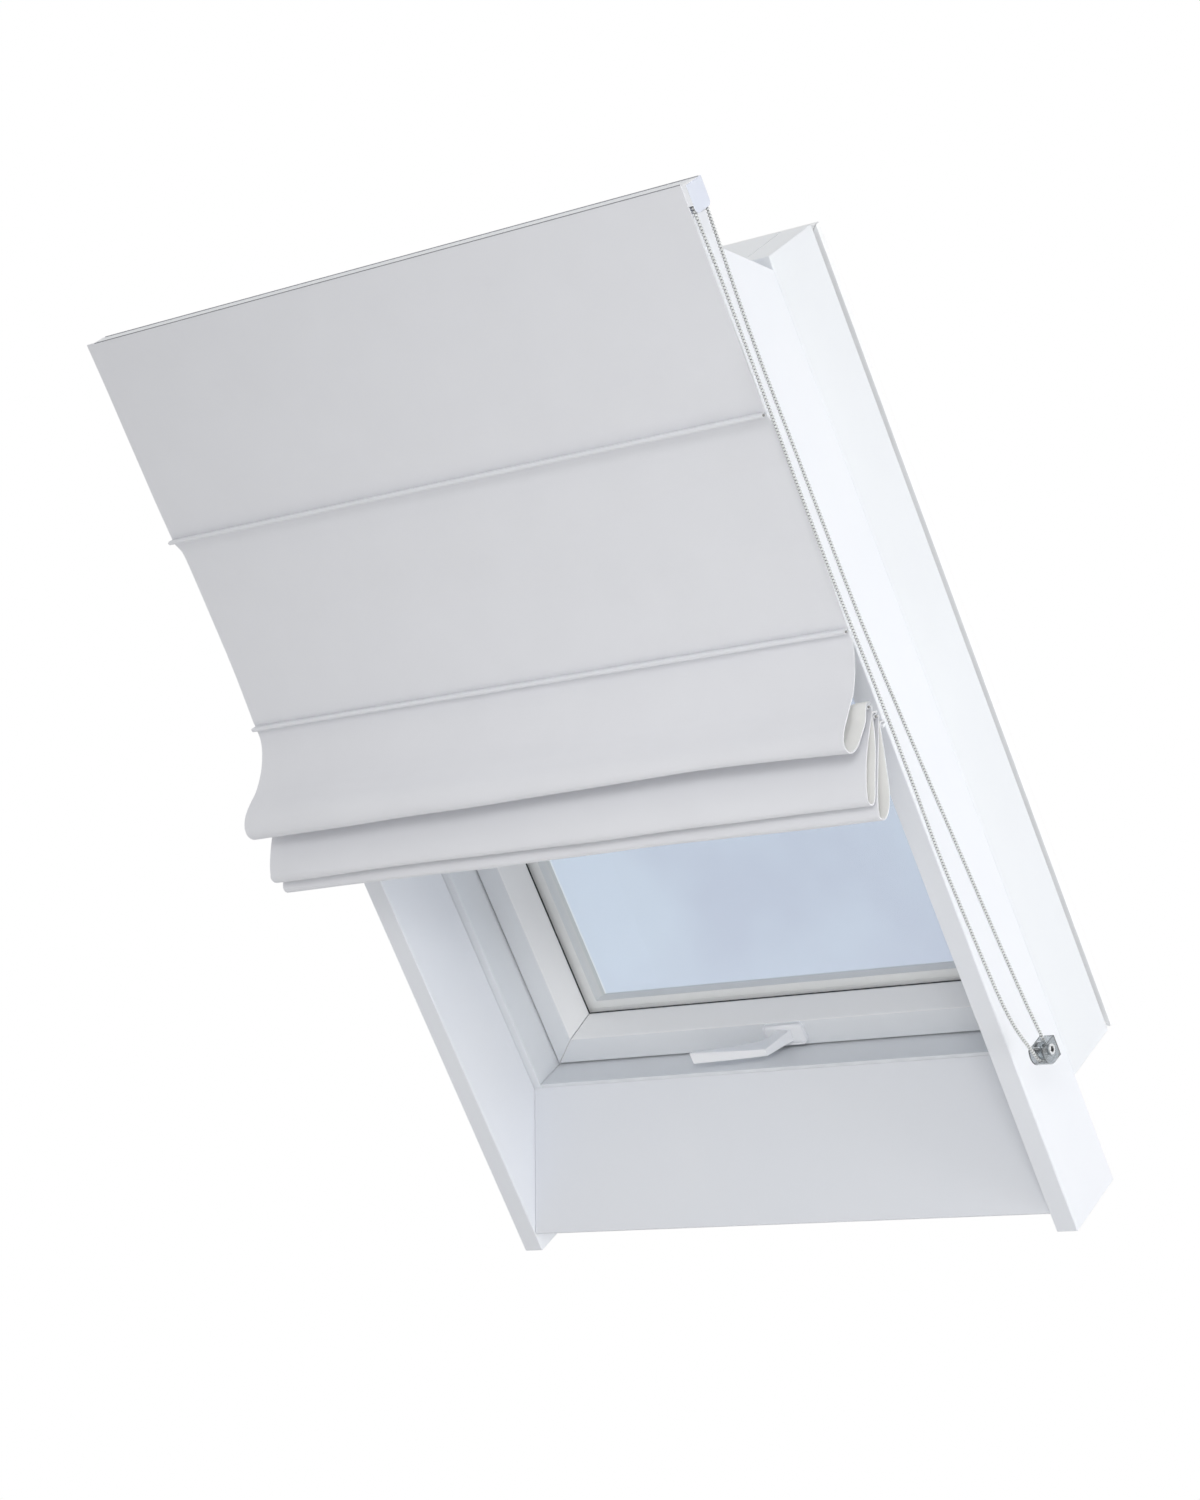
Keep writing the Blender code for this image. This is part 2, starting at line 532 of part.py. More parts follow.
def handle():
    """Rosette on the sash and a cranked lever that turns on it."""
    down = -HANDLE_Y
    plate_front = SASH_FRONT + GAP + ROSETTE_THICK
    place_mesh("handle_rosette",
               box_shape((-ROSETTE_WIDTH / 2, ROSETTE_WIDTH / 2),
                         (down - ROSETTE_HEIGHT / 2, down + ROSETTE_HEIGHT / 2),
                         (SASH_FRONT + GAP, plate_front)),
               white_plastic, sash_pivot, ease=ROSETTE_EASE)
    foot = plate_front + GAP - SASH_FRONT
    stand, tip, end = LEVER_STAND, LEVER_LENGTH, SPINDLE_END
    half, slim = LEVER_HALF_TIP, LEVER_HALF_ELBOW
    # Sections from the tip to the rosette: rear point, front point and half height
    sections = (((-tip, stand - LEVER_THIN), (-tip, stand), half),
                ((-0.76 * tip, stand - 0.0065), (-0.78 * tip, stand), 0.93 * half),
                ((-0.48 * tip, stand - 0.0115), (-0.51 * tip, stand), 0.83 * half),
                ((-0.23 * tip, stand - 0.0200), (-0.25 * tip, stand), 0.70 * half),
                ((-1.2 * end, stand - 0.0300), (-0.35 * end, stand - 0.001), slim),
                ((-1.02 * end, foot + 0.006), (0.35 * end, foot + 0.019), 0.80 * half),
                ((-end, foot), (end, foot), half))
    bm = bmesh.new()
    rings = []
    for rear, front, rise in sections:
        corners = ((rear, rise), (front, rise), (front, -rise), (rear, -rise))
        rings.append([bm.verts.new((x, HANDLE_Y + y, SASH_FRONT + z)) for (x, z), y in corners])
    for ring, after in zip(rings, rings[1:]):
        for i in range(4):
            bm.faces.new((ring[i], ring[(i + 1) % 4], after[(i + 1) % 4], after[i]))
    bm.faces.new(rings[0])
    bm.faces.new(rings[-1])
    lever = place_mesh("handle_lever", bm, white_plastic, handle_pivot, ease=LEVER_EASE)
    lever.modifiers.new("flat_faces", "TRIANGULATE")


def headrail():
    """Channel open at the bottom, with its left cap, brackets and touch strip."""
    top, end, lip = RAIL_TOP, RAIL_BOTTOM, RAIL_LIP
    back, front, wall = RAIL_BACK, RAIL_FRONT, RAIL_WALL
    channel = ((top, back), (top, front), (end, front), (end, front - lip),
               (end - wall, front - lip), (end - wall, front - wall), (top + wall, front - wall),
               (top + wall, back + wall), (end - wall, back + wall), (end - wall, back + lip),
               (end, back + lip), (end, back))
    place_mesh("headrail", section_shape(channel, (RAIL_LEFT, RAIL_RIGHT)), white_aluminium)
    cap = box_shape((RAIL_LEFT - GAP - END_CAP_THICK, RAIL_LEFT - GAP), (top, end), (back, front))
    place_mesh("end_cap_left", cap, white_plastic, ease=END_CAP_EASE)
    bracket_top = BOARD_TOP + BRACKET_DROP
    foot = GAP + BRACKET_WALL
    head = back - GAP
    clip = ((bracket_top, GAP), (bracket_top, head), (bracket_top + BRACKET_HEIGHT, head),
            (bracket_top + BRACKET_HEIGHT, head - BRACKET_WALL),
            (bracket_top + BRACKET_WALL, head - BRACKET_WALL), (bracket_top + BRACKET_WALL, foot),
            (bracket_top + 2 * BRACKET_HEIGHT, foot), (bracket_top + 2 * BRACKET_HEIGHT, GAP))
    for side, x in (("left", RAIL_LEFT + BRACKET_INSET), ("right", RAIL_RIGHT - BRACKET_INSET)):
        reach = (x - BRACKET_WIDTH / 2, x + BRACKET_WIDTH / 2)
        place_mesh(f"rail_bracket_{side}", section_shape(clip, reach), zinc_steel)
    strip_top = RAIL_TOP + TOUCH_STRIP_DROP
    strip = box_shape((FABRIC_LEFT + TOUCH_STRIP_INSET, RAIL_RIGHT),
                      (strip_top, strip_top + TOUCH_STRIP_HEIGHT),
                      (front + GAP, front + GAP + TOUCH_STRIP_THICK))
    place_mesh("touch_strip", strip, white_plastic)


def drive():
    """Shaft with its spools and sprocket, its bearings and the housing at the chain's end."""
    housing_left = RAIL_RIGHT + GAP
    housing_right = housing_left + HOUSING_THICK
    shaft_left = RAIL_LEFT + SHAFT_INSET
    shaft_right = housing_right - HOUSING_WALL - GAP
    shaft = round_shape("X", Vector(((shaft_left + shaft_right) / 2, SHAFT_Y, SHAFT_FRONT)),
                        SHAFT_RADIUS, shaft_right - shaft_left, segments=16)
    place_mesh("lift_shaft", shaft, zinc_steel, shaft_pivot, smooth=True)
    bore_radius = SHAFT_RADIUS + GAP
    spool_places = (FABRIC_LEFT + SPOOL_INSET, (FABRIC_LEFT + FABRIC_RIGHT) / 2,
                    FABRIC_RIGHT - SPOOL_INSET)
    for i, x in enumerate(spool_places, 1):
        middle = Vector((x, SHAFT_Y, SHAFT_FRONT))
        spool = place_mesh(f"cord_spool_{i}", round_shape("X", middle, SPOOL_RADIUS, SPOOL_LENGTH),
                           white_plastic, shaft_pivot, smooth=True)
        for end in (-1, 1):
            rim = round_shape("X", middle + Vector((end * (SPOOL_LENGTH - SPOOL_RIM) / 2, 0, 0)),
                              SPOOL_FLANGE, SPOOL_RIM)
            boolean(spool, guide_of(f"spool_rim_{i}_{end}", rim, shaft_pivot), "UNION")
        bore = round_shape("X", middle, bore_radius, SPOOL_LENGTH + 2 * CUT_PAST, segments=16)
        boolean(spool, guide_of(f"spool_bore_{i}", bore, shaft_pivot))
    sprocket_middle = Vector((CHAIN_X, SHAFT_Y, SHAFT_FRONT))
    sprocket = place_mesh("chain_sprocket",
                          round_shape("X", sprocket_middle, WHEEL_RADIUS, SPROCKET_THICK),
                          white_plastic, shaft_pivot, smooth=True)
    hub = round_shape("X", sprocket_middle, bore_radius, SPROCKET_THICK + 2 * CUT_PAST, segments=16)
    boolean(sprocket, guide_of("sprocket_bore", hub, shaft_pivot))
    inside = RAIL_WALL + GAP
    for side, x in (("left", RAIL_LEFT + BEARING_INSET), ("right", RAIL_RIGHT - BEARING_INSET)):
        block = box_shape((x - BEARING_WIDTH / 2, x + BEARING_WIDTH / 2),
                          (RAIL_TOP + inside, RAIL_BOTTOM - inside),
                          (RAIL_BACK + inside, RAIL_FRONT - inside))
        bearing = place_mesh(f"shaft_bearing_{side}", block, white_plastic)
        bore = round_shape("X", Vector((x, SHAFT_Y, SHAFT_FRONT)), SHAFT_RADIUS + BEARING_RUNNING,
                           BEARING_WIDTH + 2 * CUT_PAST, segments=16)
        boolean(bearing, guide_of(f"bearing_bore_{side}", bore))
    drive_housing(housing_left, housing_right)


def drive_housing(left, right):
    """Thin shell round the sprocket, open at the bottom and low at the front."""
    top, bottom, back, front = RAIL_TOP, HOUSING_BOTTOM, HOUSING_BACK, HOUSING_FRONT
    outline = [(top, front), (top, back)]
    for edge, outward, start in ((back, -1, 0), (front, 1, 1)):
        for k in range(6):
            angle = math.pi / 2 * abs(start - k / 5)
            outline.append((bottom - HOUSING_ROUND * (1 - math.sin(angle)),
                            edge - outward * HOUSING_ROUND * (1 - math.cos(angle))))
    shell = place_mesh("drive_housing", section_shape(outline, (left, right)), white_plastic)
    inner = (left + HOUSING_WALL, right - HOUSING_WALL)
    hollow = box_shape(inner, (top + HOUSING_WALL, bottom + CUT_PAST),
                       (back + HOUSING_WALL, front - HOUSING_WALL))
    boolean(shell, guide_of("housing_hollow", hollow))
    notch = box_shape(inner, (bottom - HOUSING_NOTCH, bottom + CUT_PAST),
                      (SHAFT_FRONT, front + CUT_PAST))
    boolean(shell, guide_of("housing_notch", notch))
    shaft_hole = round_shape("X", Vector((left, SHAFT_Y, SHAFT_FRONT)),
                             SHAFT_RADIUS + BEARING_RUNNING, 2 * HOUSING_WALL + GAP, segments=16)
    boolean(shell, guide_of("housing_shaft_hole", shaft_hole))


def sheet_object(name, points, x, thickness, material, pivot=None, closed=False):
    """An open strip along X with a wall thickness; points are (down, front)."""
    bm = bmesh.new()
    row = [bm.verts.new((x[0], -down, front)) for down, front in points]
    edges = [bm.edges.new(pair) for pair in zip(row, row[1:])]
    if closed:
        edges.append(bm.edges.new((row[-1], row[0])))
    drawn = bmesh.ops.extrude_edge_only(bm, edges=edges)
    moved = [g for g in drawn["geom"] if isinstance(g, bmesh.types.BMVert)]
    bmesh.ops.translate(bm, verts=moved, vec=(x[1] - x[0], 0, 0))
    made = place_mesh(name, bm, material, pivot, smooth=True)
    wall = made.modifiers.new("wall", "SOLIDIFY")
    wall.thickness = thickness
    wall.offset = 0.0
    wall.use_even_offset = True
    return made


def stadium(down, front, height, depth, steps=5):
    """A flattened ring outline, long towards the room."""
    radius = height / 2
    reach = depth / 2 - radius
    points = []
    for end in (1, -1):
        for k in range(steps):
            angle = math.pi * k / (steps - 1)
            points.append((down + end * radius * math.cos(angle),
                           front + end * (reach + radius * math.sin(angle))))
    return points


def blind_fabric_pieces():
    """Five panels between the headrail and the hem, and a sewn pocket with its rod at each end."""
    width = (FABRIC_LEFT, FABRIC_RIGHT)
    for i, profile in enumerate(PANEL_PROFILES, 1):
        points = [tuple(p) for p in smooth_points(profile, 3 if i > 2 else 2)]
        sheet_object(f"fabric_panel_{i}", points, width, FABRIC_THICK, blind_fabric)
    for i, (down, front) in enumerate(zip(POCKET_DOWN, POCKET_FRONT), 1):
        pivot = pocket_pivots[i - 1]
        last = i == len(POCKET_DOWN)
        outline = stadium(down, front, POCKET_HEIGHT - POCKET_WALL, POCKET_DEPTH - POCKET_WALL)
        sheet_object("hem_pocket" if last else f"rod_pocket_{i}", outline, width, POCKET_WALL,
                     blind_fabric, pivot, closed=True)
        reach = (FABRIC_LEFT - ROD_SHOW, FABRIC_RIGHT + ROD_SHOW)
        if last:
            bar = box_shape(reach, (down - HEM_BAR_THICK / 2, down + HEM_BAR_THICK / 2),
                            (front - HEM_BAR_DEPTH / 2, front + HEM_BAR_DEPTH / 2))
            place_mesh("hem_bar", bar, white_aluminium, pivot)
        else:
            seat = front + POCKET_DEPTH / 2 - POCKET_WALL - ROD_RADIUS - 2 * GAP
            rod = round_shape("X", Vector((sum(reach) / 2, -down, seat)), ROD_RADIUS,
                              reach[1] - reach[0], segments=10)
            place_mesh(f"rod_{i}", rod, glass_fibre, pivot, smooth=True)


def support_slat():
    """Slat fixed between the side boards, behind the folds."""
    end = HALF_LINING - GAP
    slat = box_shape((-end, end), (SLAT_DOWN, SLAT_DOWN + SLAT_HEIGHT), (-GAP - SLAT_THICK, -GAP))
    place_mesh("support_slat", slat, white_aluminium, ease=SLAT_EASE)


def operating_chain():
    """Bead chain from the sprocket round the tensioner wheel and back, as one tube."""
    start_down = BACK_STRAND[1][0]

    def route_x(down):
        share = min(max((down - start_down) / (TENSIONER_DOWN - start_down), 0), 1)
        return CHAIN_X + (TENSIONER_X - CHAIN_X) * share

    turn = []
    for k in range(13):
        angle = (math.pi - CHAIN_ENTRY) * k / 12
        turn.append((TENSIONER_DOWN + CHAIN_PITCH_RADIUS * math.sin(angle),
                     TENSIONER_FRONT - CHAIN_PITCH_RADIUS * math.cos(angle)))
    route = [*smooth_points([*BACK_STRAND, turn[0]], 2)[:-1], *turn,
             *smooth_points([turn[-1], *FRONT_STRAND], 2)[1:]]
    curve = bpy.data.curves.new("operating_chain", "CURVE")
    curve.dimensions = "3D"
    curve.bevel_depth = CHAIN_DIAMETER / 2
    curve.bevel_resolution = 2
    curve.use_fill_caps = True
    spline = curve.splines.new("POLY")
    spline.points.add(len(route) - 1)
    for point, (down, front) in zip(spline.points, route):
        point.co = (route_x(down), -down, front, 1)
    made = bpy.data.objects.new("operating_chain", curve)
    made.parent = roof
    curve.materials.append(chain_plastic)
    model.objects.link(made)


def rim_arc(radius, start, end, steps):
    """Points round the tensioner's wheel; 0 is straight down the slope, a quarter turn is ahead."""
    points = []
    for k in range(steps + 1):
        angle = start + (end - start) * k / steps
        points.append((TENSIONER_DOWN + radius * math.cos(angle),
                       TENSIONER_FRONT + radius * math.sin(angle)))
    return points


def tensioner():
    """Clear holder with a wheel between its cheeks, on a screw that runs across it."""
    x, down, front = TENSIONER_X, TENSIONER_DOWN, TENSIONER_FRONT
    left, right = x - TENSIONER_LEFT, x + TENSIONER_RIGHT
    inside = (left + TENSIONER_CHEEK, right - TENSIONER_CHEEK)
    top, back = down - TENSIONER_RISE, front - RIM_OUTSIDE
    cut_top = math.pi / 2 + math.asin(TENSIONER_RISE / RIM_OUTSIDE)
    outline = [(top, back), (down + RIM_OUTSIDE, back), *rim_arc(RIM_OUTSIDE, 0, cut_top, 14)]
    holder = place_mesh("tensioner_holder", section_shape(outline, (left, right)), clear_plastic)
    past = RIM_OUTSIDE + CUT_PAST
    rim_stop = math.pi / 2 - RIM_END
    cavity = [(top - CUT_PAST, back + TENSIONER_WALL), (down + RIM_INSIDE, back + TENSIONER_WALL),
              *rim_arc(RIM_INSIDE, 0, rim_stop, 8), rim_arc(past, 0, rim_stop, 1)[1],
              (down, front + past), (top - CUT_PAST, front + past)]
    boolean(holder, guide_of("tensioner_cavity", section_shape(cavity, inside)))
    middle = Vector(((left + right) / 2, -down, front))
    hole = round_shape("X", middle, SCREW_RADIUS + SCREW_RUNNING, right - left + 2 * CUT_PAST,
                       segments=16)
    boolean(holder, guide_of("tensioner_screw_hole", hole))
    wheel = place_mesh("tensioner_wheel",
                       round_shape("X", Vector((x, -down, front)), WHEEL_RADIUS, 2 * WHEEL_HALF),
                       white_plastic, wheel_pivot, smooth=True)
    boss = (inside[0] + GAP, inside[1] - GAP)
    shape = round_shape("X", Vector((sum(boss) / 2, -down, front)), BOSS_RADIUS, boss[1] - boss[0])
    boolean(wheel, guide_of("tensioner_boss", shape, wheel_pivot), "UNION")
    bore = round_shape("X", middle, SCREW_RADIUS + SCREW_RUNNING, right - left, segments=16)
    boolean(wheel, guide_of("tensioner_wheel_bore", bore, wheel_pivot))
    head = (right + GAP, right + GAP + SCREW_HEAD_HEIGHT)
    screw = place_mesh("tensioner_screw",
                       round_shape("X", Vector((sum(head) / 2, -down, front)), SCREW_HEAD_RADIUS,
                                   SCREW_HEAD_HEIGHT), zinc_steel)
    end = left - SCREW_PAST
    shank = round_shape("X", Vector(((end + sum(head) / 2) / 2, -down, front)), SCREW_RADIUS,
                        sum(head) / 2 - end, segments=16)
    boolean(screw, guide_of("tensioner_screw_shank", shank), "UNION")
    length, width, depth = SCREW_CROSS
    for i, (tall, deep) in enumerate(((length, width), (width, length)), 1):
        arm = box_shape((head[1] - depth, head[1] + CUT_PAST), (down - tall / 2, down + tall / 2),
                        (front - deep / 2, front + deep / 2))
        boolean(screw, guide_of(f"screw_cross_{i}", arm))


lining()
window_frame()
sash()
sash_hinges()
handle()
headrail()
drive()
blind_fabric_pieces()
support_slat()
operating_chain()
tensioner()
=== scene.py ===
import json
import math

import bpy
from mathutils import Matrix, Vector, noise

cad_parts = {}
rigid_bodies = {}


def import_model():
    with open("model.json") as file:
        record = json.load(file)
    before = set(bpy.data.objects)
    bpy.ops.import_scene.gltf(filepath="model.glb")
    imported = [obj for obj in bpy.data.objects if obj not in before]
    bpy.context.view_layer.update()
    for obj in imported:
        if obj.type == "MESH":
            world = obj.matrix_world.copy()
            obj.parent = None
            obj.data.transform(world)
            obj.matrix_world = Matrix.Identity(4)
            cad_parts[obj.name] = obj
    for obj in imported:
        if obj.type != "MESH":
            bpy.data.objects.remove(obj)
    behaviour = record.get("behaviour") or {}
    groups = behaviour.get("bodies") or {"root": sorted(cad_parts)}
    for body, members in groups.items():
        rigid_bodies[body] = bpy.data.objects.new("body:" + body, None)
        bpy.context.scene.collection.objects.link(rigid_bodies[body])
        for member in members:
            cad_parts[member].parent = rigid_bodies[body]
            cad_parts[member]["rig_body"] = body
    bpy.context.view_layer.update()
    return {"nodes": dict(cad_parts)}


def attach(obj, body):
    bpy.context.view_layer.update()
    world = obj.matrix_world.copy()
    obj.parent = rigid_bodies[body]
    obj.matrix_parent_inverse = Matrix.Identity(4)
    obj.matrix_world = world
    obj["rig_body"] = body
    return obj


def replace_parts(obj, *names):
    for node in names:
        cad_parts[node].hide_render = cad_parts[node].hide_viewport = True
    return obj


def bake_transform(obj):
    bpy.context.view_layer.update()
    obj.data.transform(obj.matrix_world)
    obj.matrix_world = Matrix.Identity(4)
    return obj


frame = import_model()
nodes = frame["nodes"]
scene = bpy.context.scene
print("frame loaded with", len(nodes), "nodes")

# Pieces are drawn flat: x to the right, y up the slope, z into the room. Then they tilt to the roof
roof = {
    "pitch": math.radians(54.5),
    "mountDown": 0.120,      # middle of the window frame's top face, which is the world's origin
    "mountFront": -0.152,
}
toRoof = (Matrix.Rotation(math.pi - roof["pitch"], 4, "X")
          @ Matrix.Translation((0, roof["mountDown"], -roof["mountFront"])))
upSlope = Vector((0, -math.cos(roof["pitch"]), math.sin(roof["pitch"])))


def onRoof(x, down, front):
    return toRoof @ Vector((x, -down, front))


# Camera, fitted to the photograph's edges
bpy.ops.object.camera_add(location=(2.2572, -2.7475, -1.1439), rotation=(1.7531, 0.0079, 0.6586))
camera = bpy.context.object
camera.data.sensor_width = 36
camera.data.lens = 80.83
camera.data.clip_end = 60
scene.camera = camera


# Small helpers for working by hand
def pick(piece):
    if bpy.context.object and bpy.context.object.mode != "OBJECT":
        bpy.ops.object.mode_set(mode="OBJECT")
    bpy.ops.object.select_all(action="DESELECT")
    piece.select_set(True)
    bpy.context.view_layer.objects.active = piece


def modify(piece, kind, **settings):
    pick(piece)
    step = piece.modifiers.new(kind.lower(), kind)
    for key, value in settings.items():
        setattr(step, key, value)
    bpy.ops.object.modifier_apply(modifier=step.name)


def smooth(piece, angle=35, evenOut=True):
    pick(piece)
    bpy.ops.object.shade_smooth_by_angle(angle=math.radians(angle))
    if evenOut:      # large flat faces stay flat beside their eased edges
        modify(piece, "WEIGHTED_NORMAL", keep_sharp=True)


def tiltToRoof(piece):
    piece.data.transform(toRoof @ piece.matrix_world)
    piece.matrix_world = Matrix.Identity(4)


def dress(piece, *materials):
    piece.data.materials.clear()
    for material in materials:
        piece.data.materials.append(material)


def smoothLine(points, steps):
    ends = [Vector(point) for point in points]
    ends = [2 * ends[0] - ends[1], *ends, 2 * ends[-1] - ends[-2]]
    line = []
    for i in range(1, len(ends) - 2):
        a, b, c, d = ends[i - 1:i + 3]
        for k in range(steps):
            t = k / steps
            line.append(0.5 * (2 * b + (c - a) * t + (2 * a - 5 * b + 4 * c - d) * t ** 2
                               + (3 * b - a - 3 * c + d) * t ** 3))
    return line + [ends[-2]]


def lineLength(line):
    return sum((b - a).length for a, b in zip(line, line[1:]))


def evenLine(line, count):
    # the same line with its points at even steps
    step = lineLength(line) / count
    points, gone, wanted = [line[0].copy()], 0.0, step
    for a, b in zip(line, line[1:]):
        span = (b - a).length
        while span and gone + span >= wanted - 1e-9 and len(points) < count:
            points.append(a.lerp(b, (wanted - gone) / span))
            wanted += step
        gone += span
    return points + [line[-1].copy()]


# Bead chain, round the sprocket in the headrail's end and the wheel in the tensioner
chain = {
    "diameter": 0.0045,
    "pitch": 0.0035,
    "beadLength": 0.0031,
    "coreRadius": 0.0013,
    "pitchRadius": 0.012,
    "topX": 0.4137 + 0.0003 + 0.0073 / 2,    # the rail's end, a gap and half the drive housing
    "wheel": (0.4455, 0.9915, 0.0265),       # x, down, front
    "entry": math.radians(20),
    "straightTo": 0.0300,                    # the strands lean sideways only below the housing
    "turnSteps": 12,
    "routePoints": 700,
    "beadSegments": 8,
    "beadRings": 6,
    "coreSides": 6,
    # down and front: the back strand goes down to the wheel and the front strand comes up again
    "back": ((0.0150, 0.0100), (0.0300, 0.0110), (0.070, 0.0150), (0.120, 0.0202),
             (0.190, 0.0256), (0.280, 0.0285), (0.375, 0.0318), (0.475, 0.0348),
             (0.570, 0.0328), (0.670, 0.0300), (0.770, 0.0262), (0.870, 0.0228),
             (0.945, 0.0186), (0.9800, 0.0150)),
    "front": ((0.975, 0.0453), (0.957, 0.0518), (0.932, 0.0578), (0.895, 0.0612),
              (0.840, 0.0626), (0.780, 0.0634), (0.725, 0.0632), (0.665, 0.0598),
              (0.600, 0.0567), (0.520, 0.0546), (0.420, 0.0528), (0.320, 0.0480),
              (0.221, 0.0423), (0.150, 0.0382), (0.090, 0.0350), (0.0300, 0.0340),
              (0.0150, 0.0340)),
}


# Materials
def linear(hexColour):
    parts = [int(hexColour[i:i + 2], 16) / 255 for i in (0, 2, 4)]
    return (*[c / 12.92 if c <= 0.04045 else ((c + 0.055) / 1.055) ** 2.4 for c in parts], 1.0)


def addNode(tree, kind, inputs=None, **settings):
    node = tree.nodes.new(kind)
    for key, value in settings.items():
        setattr(node, key, value)
    for key, value in (inputs or {}).items():
        if isinstance(value, bpy.types.NodeSocket):
            tree.links.new(value, node.inputs[key])
        else:
            node.inputs[key].default_value = value
    return node


def startMaterial(name, colour, roughness, **constants):
    material = bpy.data.materials.new(name)
    material.use_nodes = True
    tree = material.node_tree
    shader = tree.nodes["Principled BSDF"]
    shader.inputs["Base Color"].default_value = linear(colour)
    shader.inputs["Roughness"].default_value = roughness
    for key, value in constants.items():
        shader.inputs[key].default_value = value
    place = addNode(tree, "ShaderNodeTexCoord").outputs["Object"]
    return material, tree, shader, place


def mottle(tree, shader, place, low, high, size, detail=3.0):
    # slow change between two near shades; size is the patch width in metres
    cloud = addNode(tree, "ShaderNodeTexNoise", {"Vector": place, "Scale": 1 / size, "Detail": detail})
    shade = addNode(tree, "ShaderNodeMix", {0: cloud.outputs["Fac"], 6: linear(low), 7: linear(high)},
                    data_type="RGBA")
    tree.links.new(shade.outputs[2], shader.inputs["Base Color"])
    return shade.outputs[2]


def grain(tree, shader, place, size, depth, detail=2.0):
    # fine relief; size and depth are in metres
    rough = addNode(tree, "ShaderNodeTexNoise", {"Vector": place, "Scale": 1 / size, "Detail": detail})
    bump = addNode(tree, "ShaderNodeBump", {"Height": rough.outputs["Fac"], "Distance": depth,
                                            "Strength": 0.6})
    tree.links.new(bump.outputs["Normal"], shader.inputs["Normal"])


def makeBlackoutWeave():
    # Polyester blackout cloth, plain woven: matte, faint threads both ways, slubs 4 mm long.
    # The real threads are 0.35 mm apart; they are drawn at 1.4 mm so that they show.
    spacing, threadRise, paintedCrownHighlight = 0.0014, 0.00012, 0.035
    material, tree, shader, place = startMaterial("polyesterBlackoutWeave", "E6E7EB", 0.88)
    shader.inputs["Sheen Weight"].default_value = 0.08
    shader.inputs["Sheen Roughness"].default_value = 0.5
    flat = addNode(tree, "ShaderNodeUVMap", uv_map="UVMap").outputs["UV"]      # in metres
    threads = []
    for axis in ((1, 0, 0), (0, 1, 0)):
        way = addNode(tree, "ShaderNodeVectorMath", {0: flat, 1: axis}, operation="DOT_PRODUCT")
        turned = addNode(tree, "ShaderNodeMath", {0: way.outputs["Value"], 1: 2 * math.pi / spacing},
                         operation="MULTIPLY")
        threads.append(addNode(tree, "ShaderNodeMath", {0: turned.outputs[0]}, operation="SINE"))
    over = addNode(tree, "ShaderNodeMath", {0: threads[0].outputs[0], 1: threads[1].outputs[0]},
                   operation="MULTIPLY")
    slub = addNode(tree, "ShaderNodeTexNoise", {"Vector": flat, "Scale": 260.0, "Detail": 2.0})
    height = addNode(tree, "ShaderNodeMath", {0: over.outputs[0], 1: slub.outputs["Fac"]},
                     operation="MULTIPLY")
    bump = addNode(tree, "ShaderNodeBump", {"Height": height.outputs[0], "Distance": threadRise,
                                            "Strength": 0.5})
    tree.links.new(bump.outputs["Normal"], shader.inputs["Normal"])
    base = mottle(tree, shader, place, "E4E5E9", "E8E9ED", 0.060)
    # the raised thread crowns are painted lighter with their height: a painted highlight on the weave
    brightness = addNode(tree, "ShaderNodeMath", {0: height.outputs[0], 1: paintedCrownHighlight, 2: 1.0},
                         operation="MULTIPLY_ADD")
    toned = addNode(tree, "ShaderNodeHueSaturation", {"Color": base, "Value": brightness.outputs[0]})
    tree.links.new(toned.outputs[0], shader.inputs["Base Color"])
    return material


def makeFoamBacking():
    # White acrylic foam on the cloth's back, which makes it opaque: chalky, almost no grain
    material, tree, shader, place = startMaterial("acrylicFoamBacking", "FAFAF8", 0.75)
    mottle(tree, shader, place, "F8F8F6", "FBFBFA", 0.020)
    grain(tree, shader, place, 0.0012, 0.00008)
    return material


def makeSewingThread():
    # Spun polyester thread, a shade darker than the cloth, so the seams read as fine lines
    material, tree, shader, place = startMaterial("polyesterThread", "D2D3D7", 0.6)
    mottle(tree, shader, place, "CECFD3", "D8D9DD", 0.004)
    return material


def makeOverlockThread():
    # Textured thread, looped over the edge every 1.6 mm; its grey is painted shade, drawing a dark
    # line along the cloth's top edge
    material, tree, shader, place = startMaterial("overlockThreadShadeGrey", "94969B", 0.85)
    loops = addNode(tree, "ShaderNodeTexWave", {"Vector": place, "Scale": 196.0, "Distortion": 1.5},
                    bands_direction="X")
    tone = addNode(tree, "ShaderNodeMix", {0: loops.outputs["Fac"], 6: linear("888A90"),
                                           7: linear("A0A2A7")}, data_type="RGBA")
    tree.links.new(tone.outputs[2], shader.inputs["Base Color"])
    bump = addNode(tree, "ShaderNodeBump", {"Height": loops.outputs["Fac"], "Distance": 0.0002})
    tree.links.new(bump.outputs["Normal"], shader.inputs["Normal"])
    return material


def makeSoftLip():
    # Soft PVC lip, extruded together with the rail, matte, closing the gap behind it; its grey is
    # painted shade, a dark line along the rail's back edge
    material, tree, shader, place = startMaterial("softLipShadeGrey", "94969B", 0.6)
    mottle(tree, shader, place, "8F9196", "9A9CA1", 0.015)
    grain(tree, shader, place, 0.0006, 0.00004)
    return material


def makeBoardPaint():
    # Satin acrylic paint from a short roller: soft sheen and a fine stipple, 2 mm across
    material, tree, shader, place = startMaterial("satinRolledPaint", "E9ECF1", 0.42)
    mottle(tree, shader, place, "E6E9EF", "ECEEF2", 0.180)
    grain(tree, shader, place, 0.0020, 0.00010)
    return material


def makeWindowPvc():
    # Extruded PVC-U with the faint drag lines of the die; its white is painted a little grey, as shade
    # on the window's flat faces
    material, tree, shader, place = startMaterial("extrudedPvcuShadedGrey", "E5E8EC", 0.28)
    mottle(tree, shader, place, "E3E6EA", "E8EBEF", 0.120)
    grain(tree, shader, place, 0.0060, 0.00006)
    return material


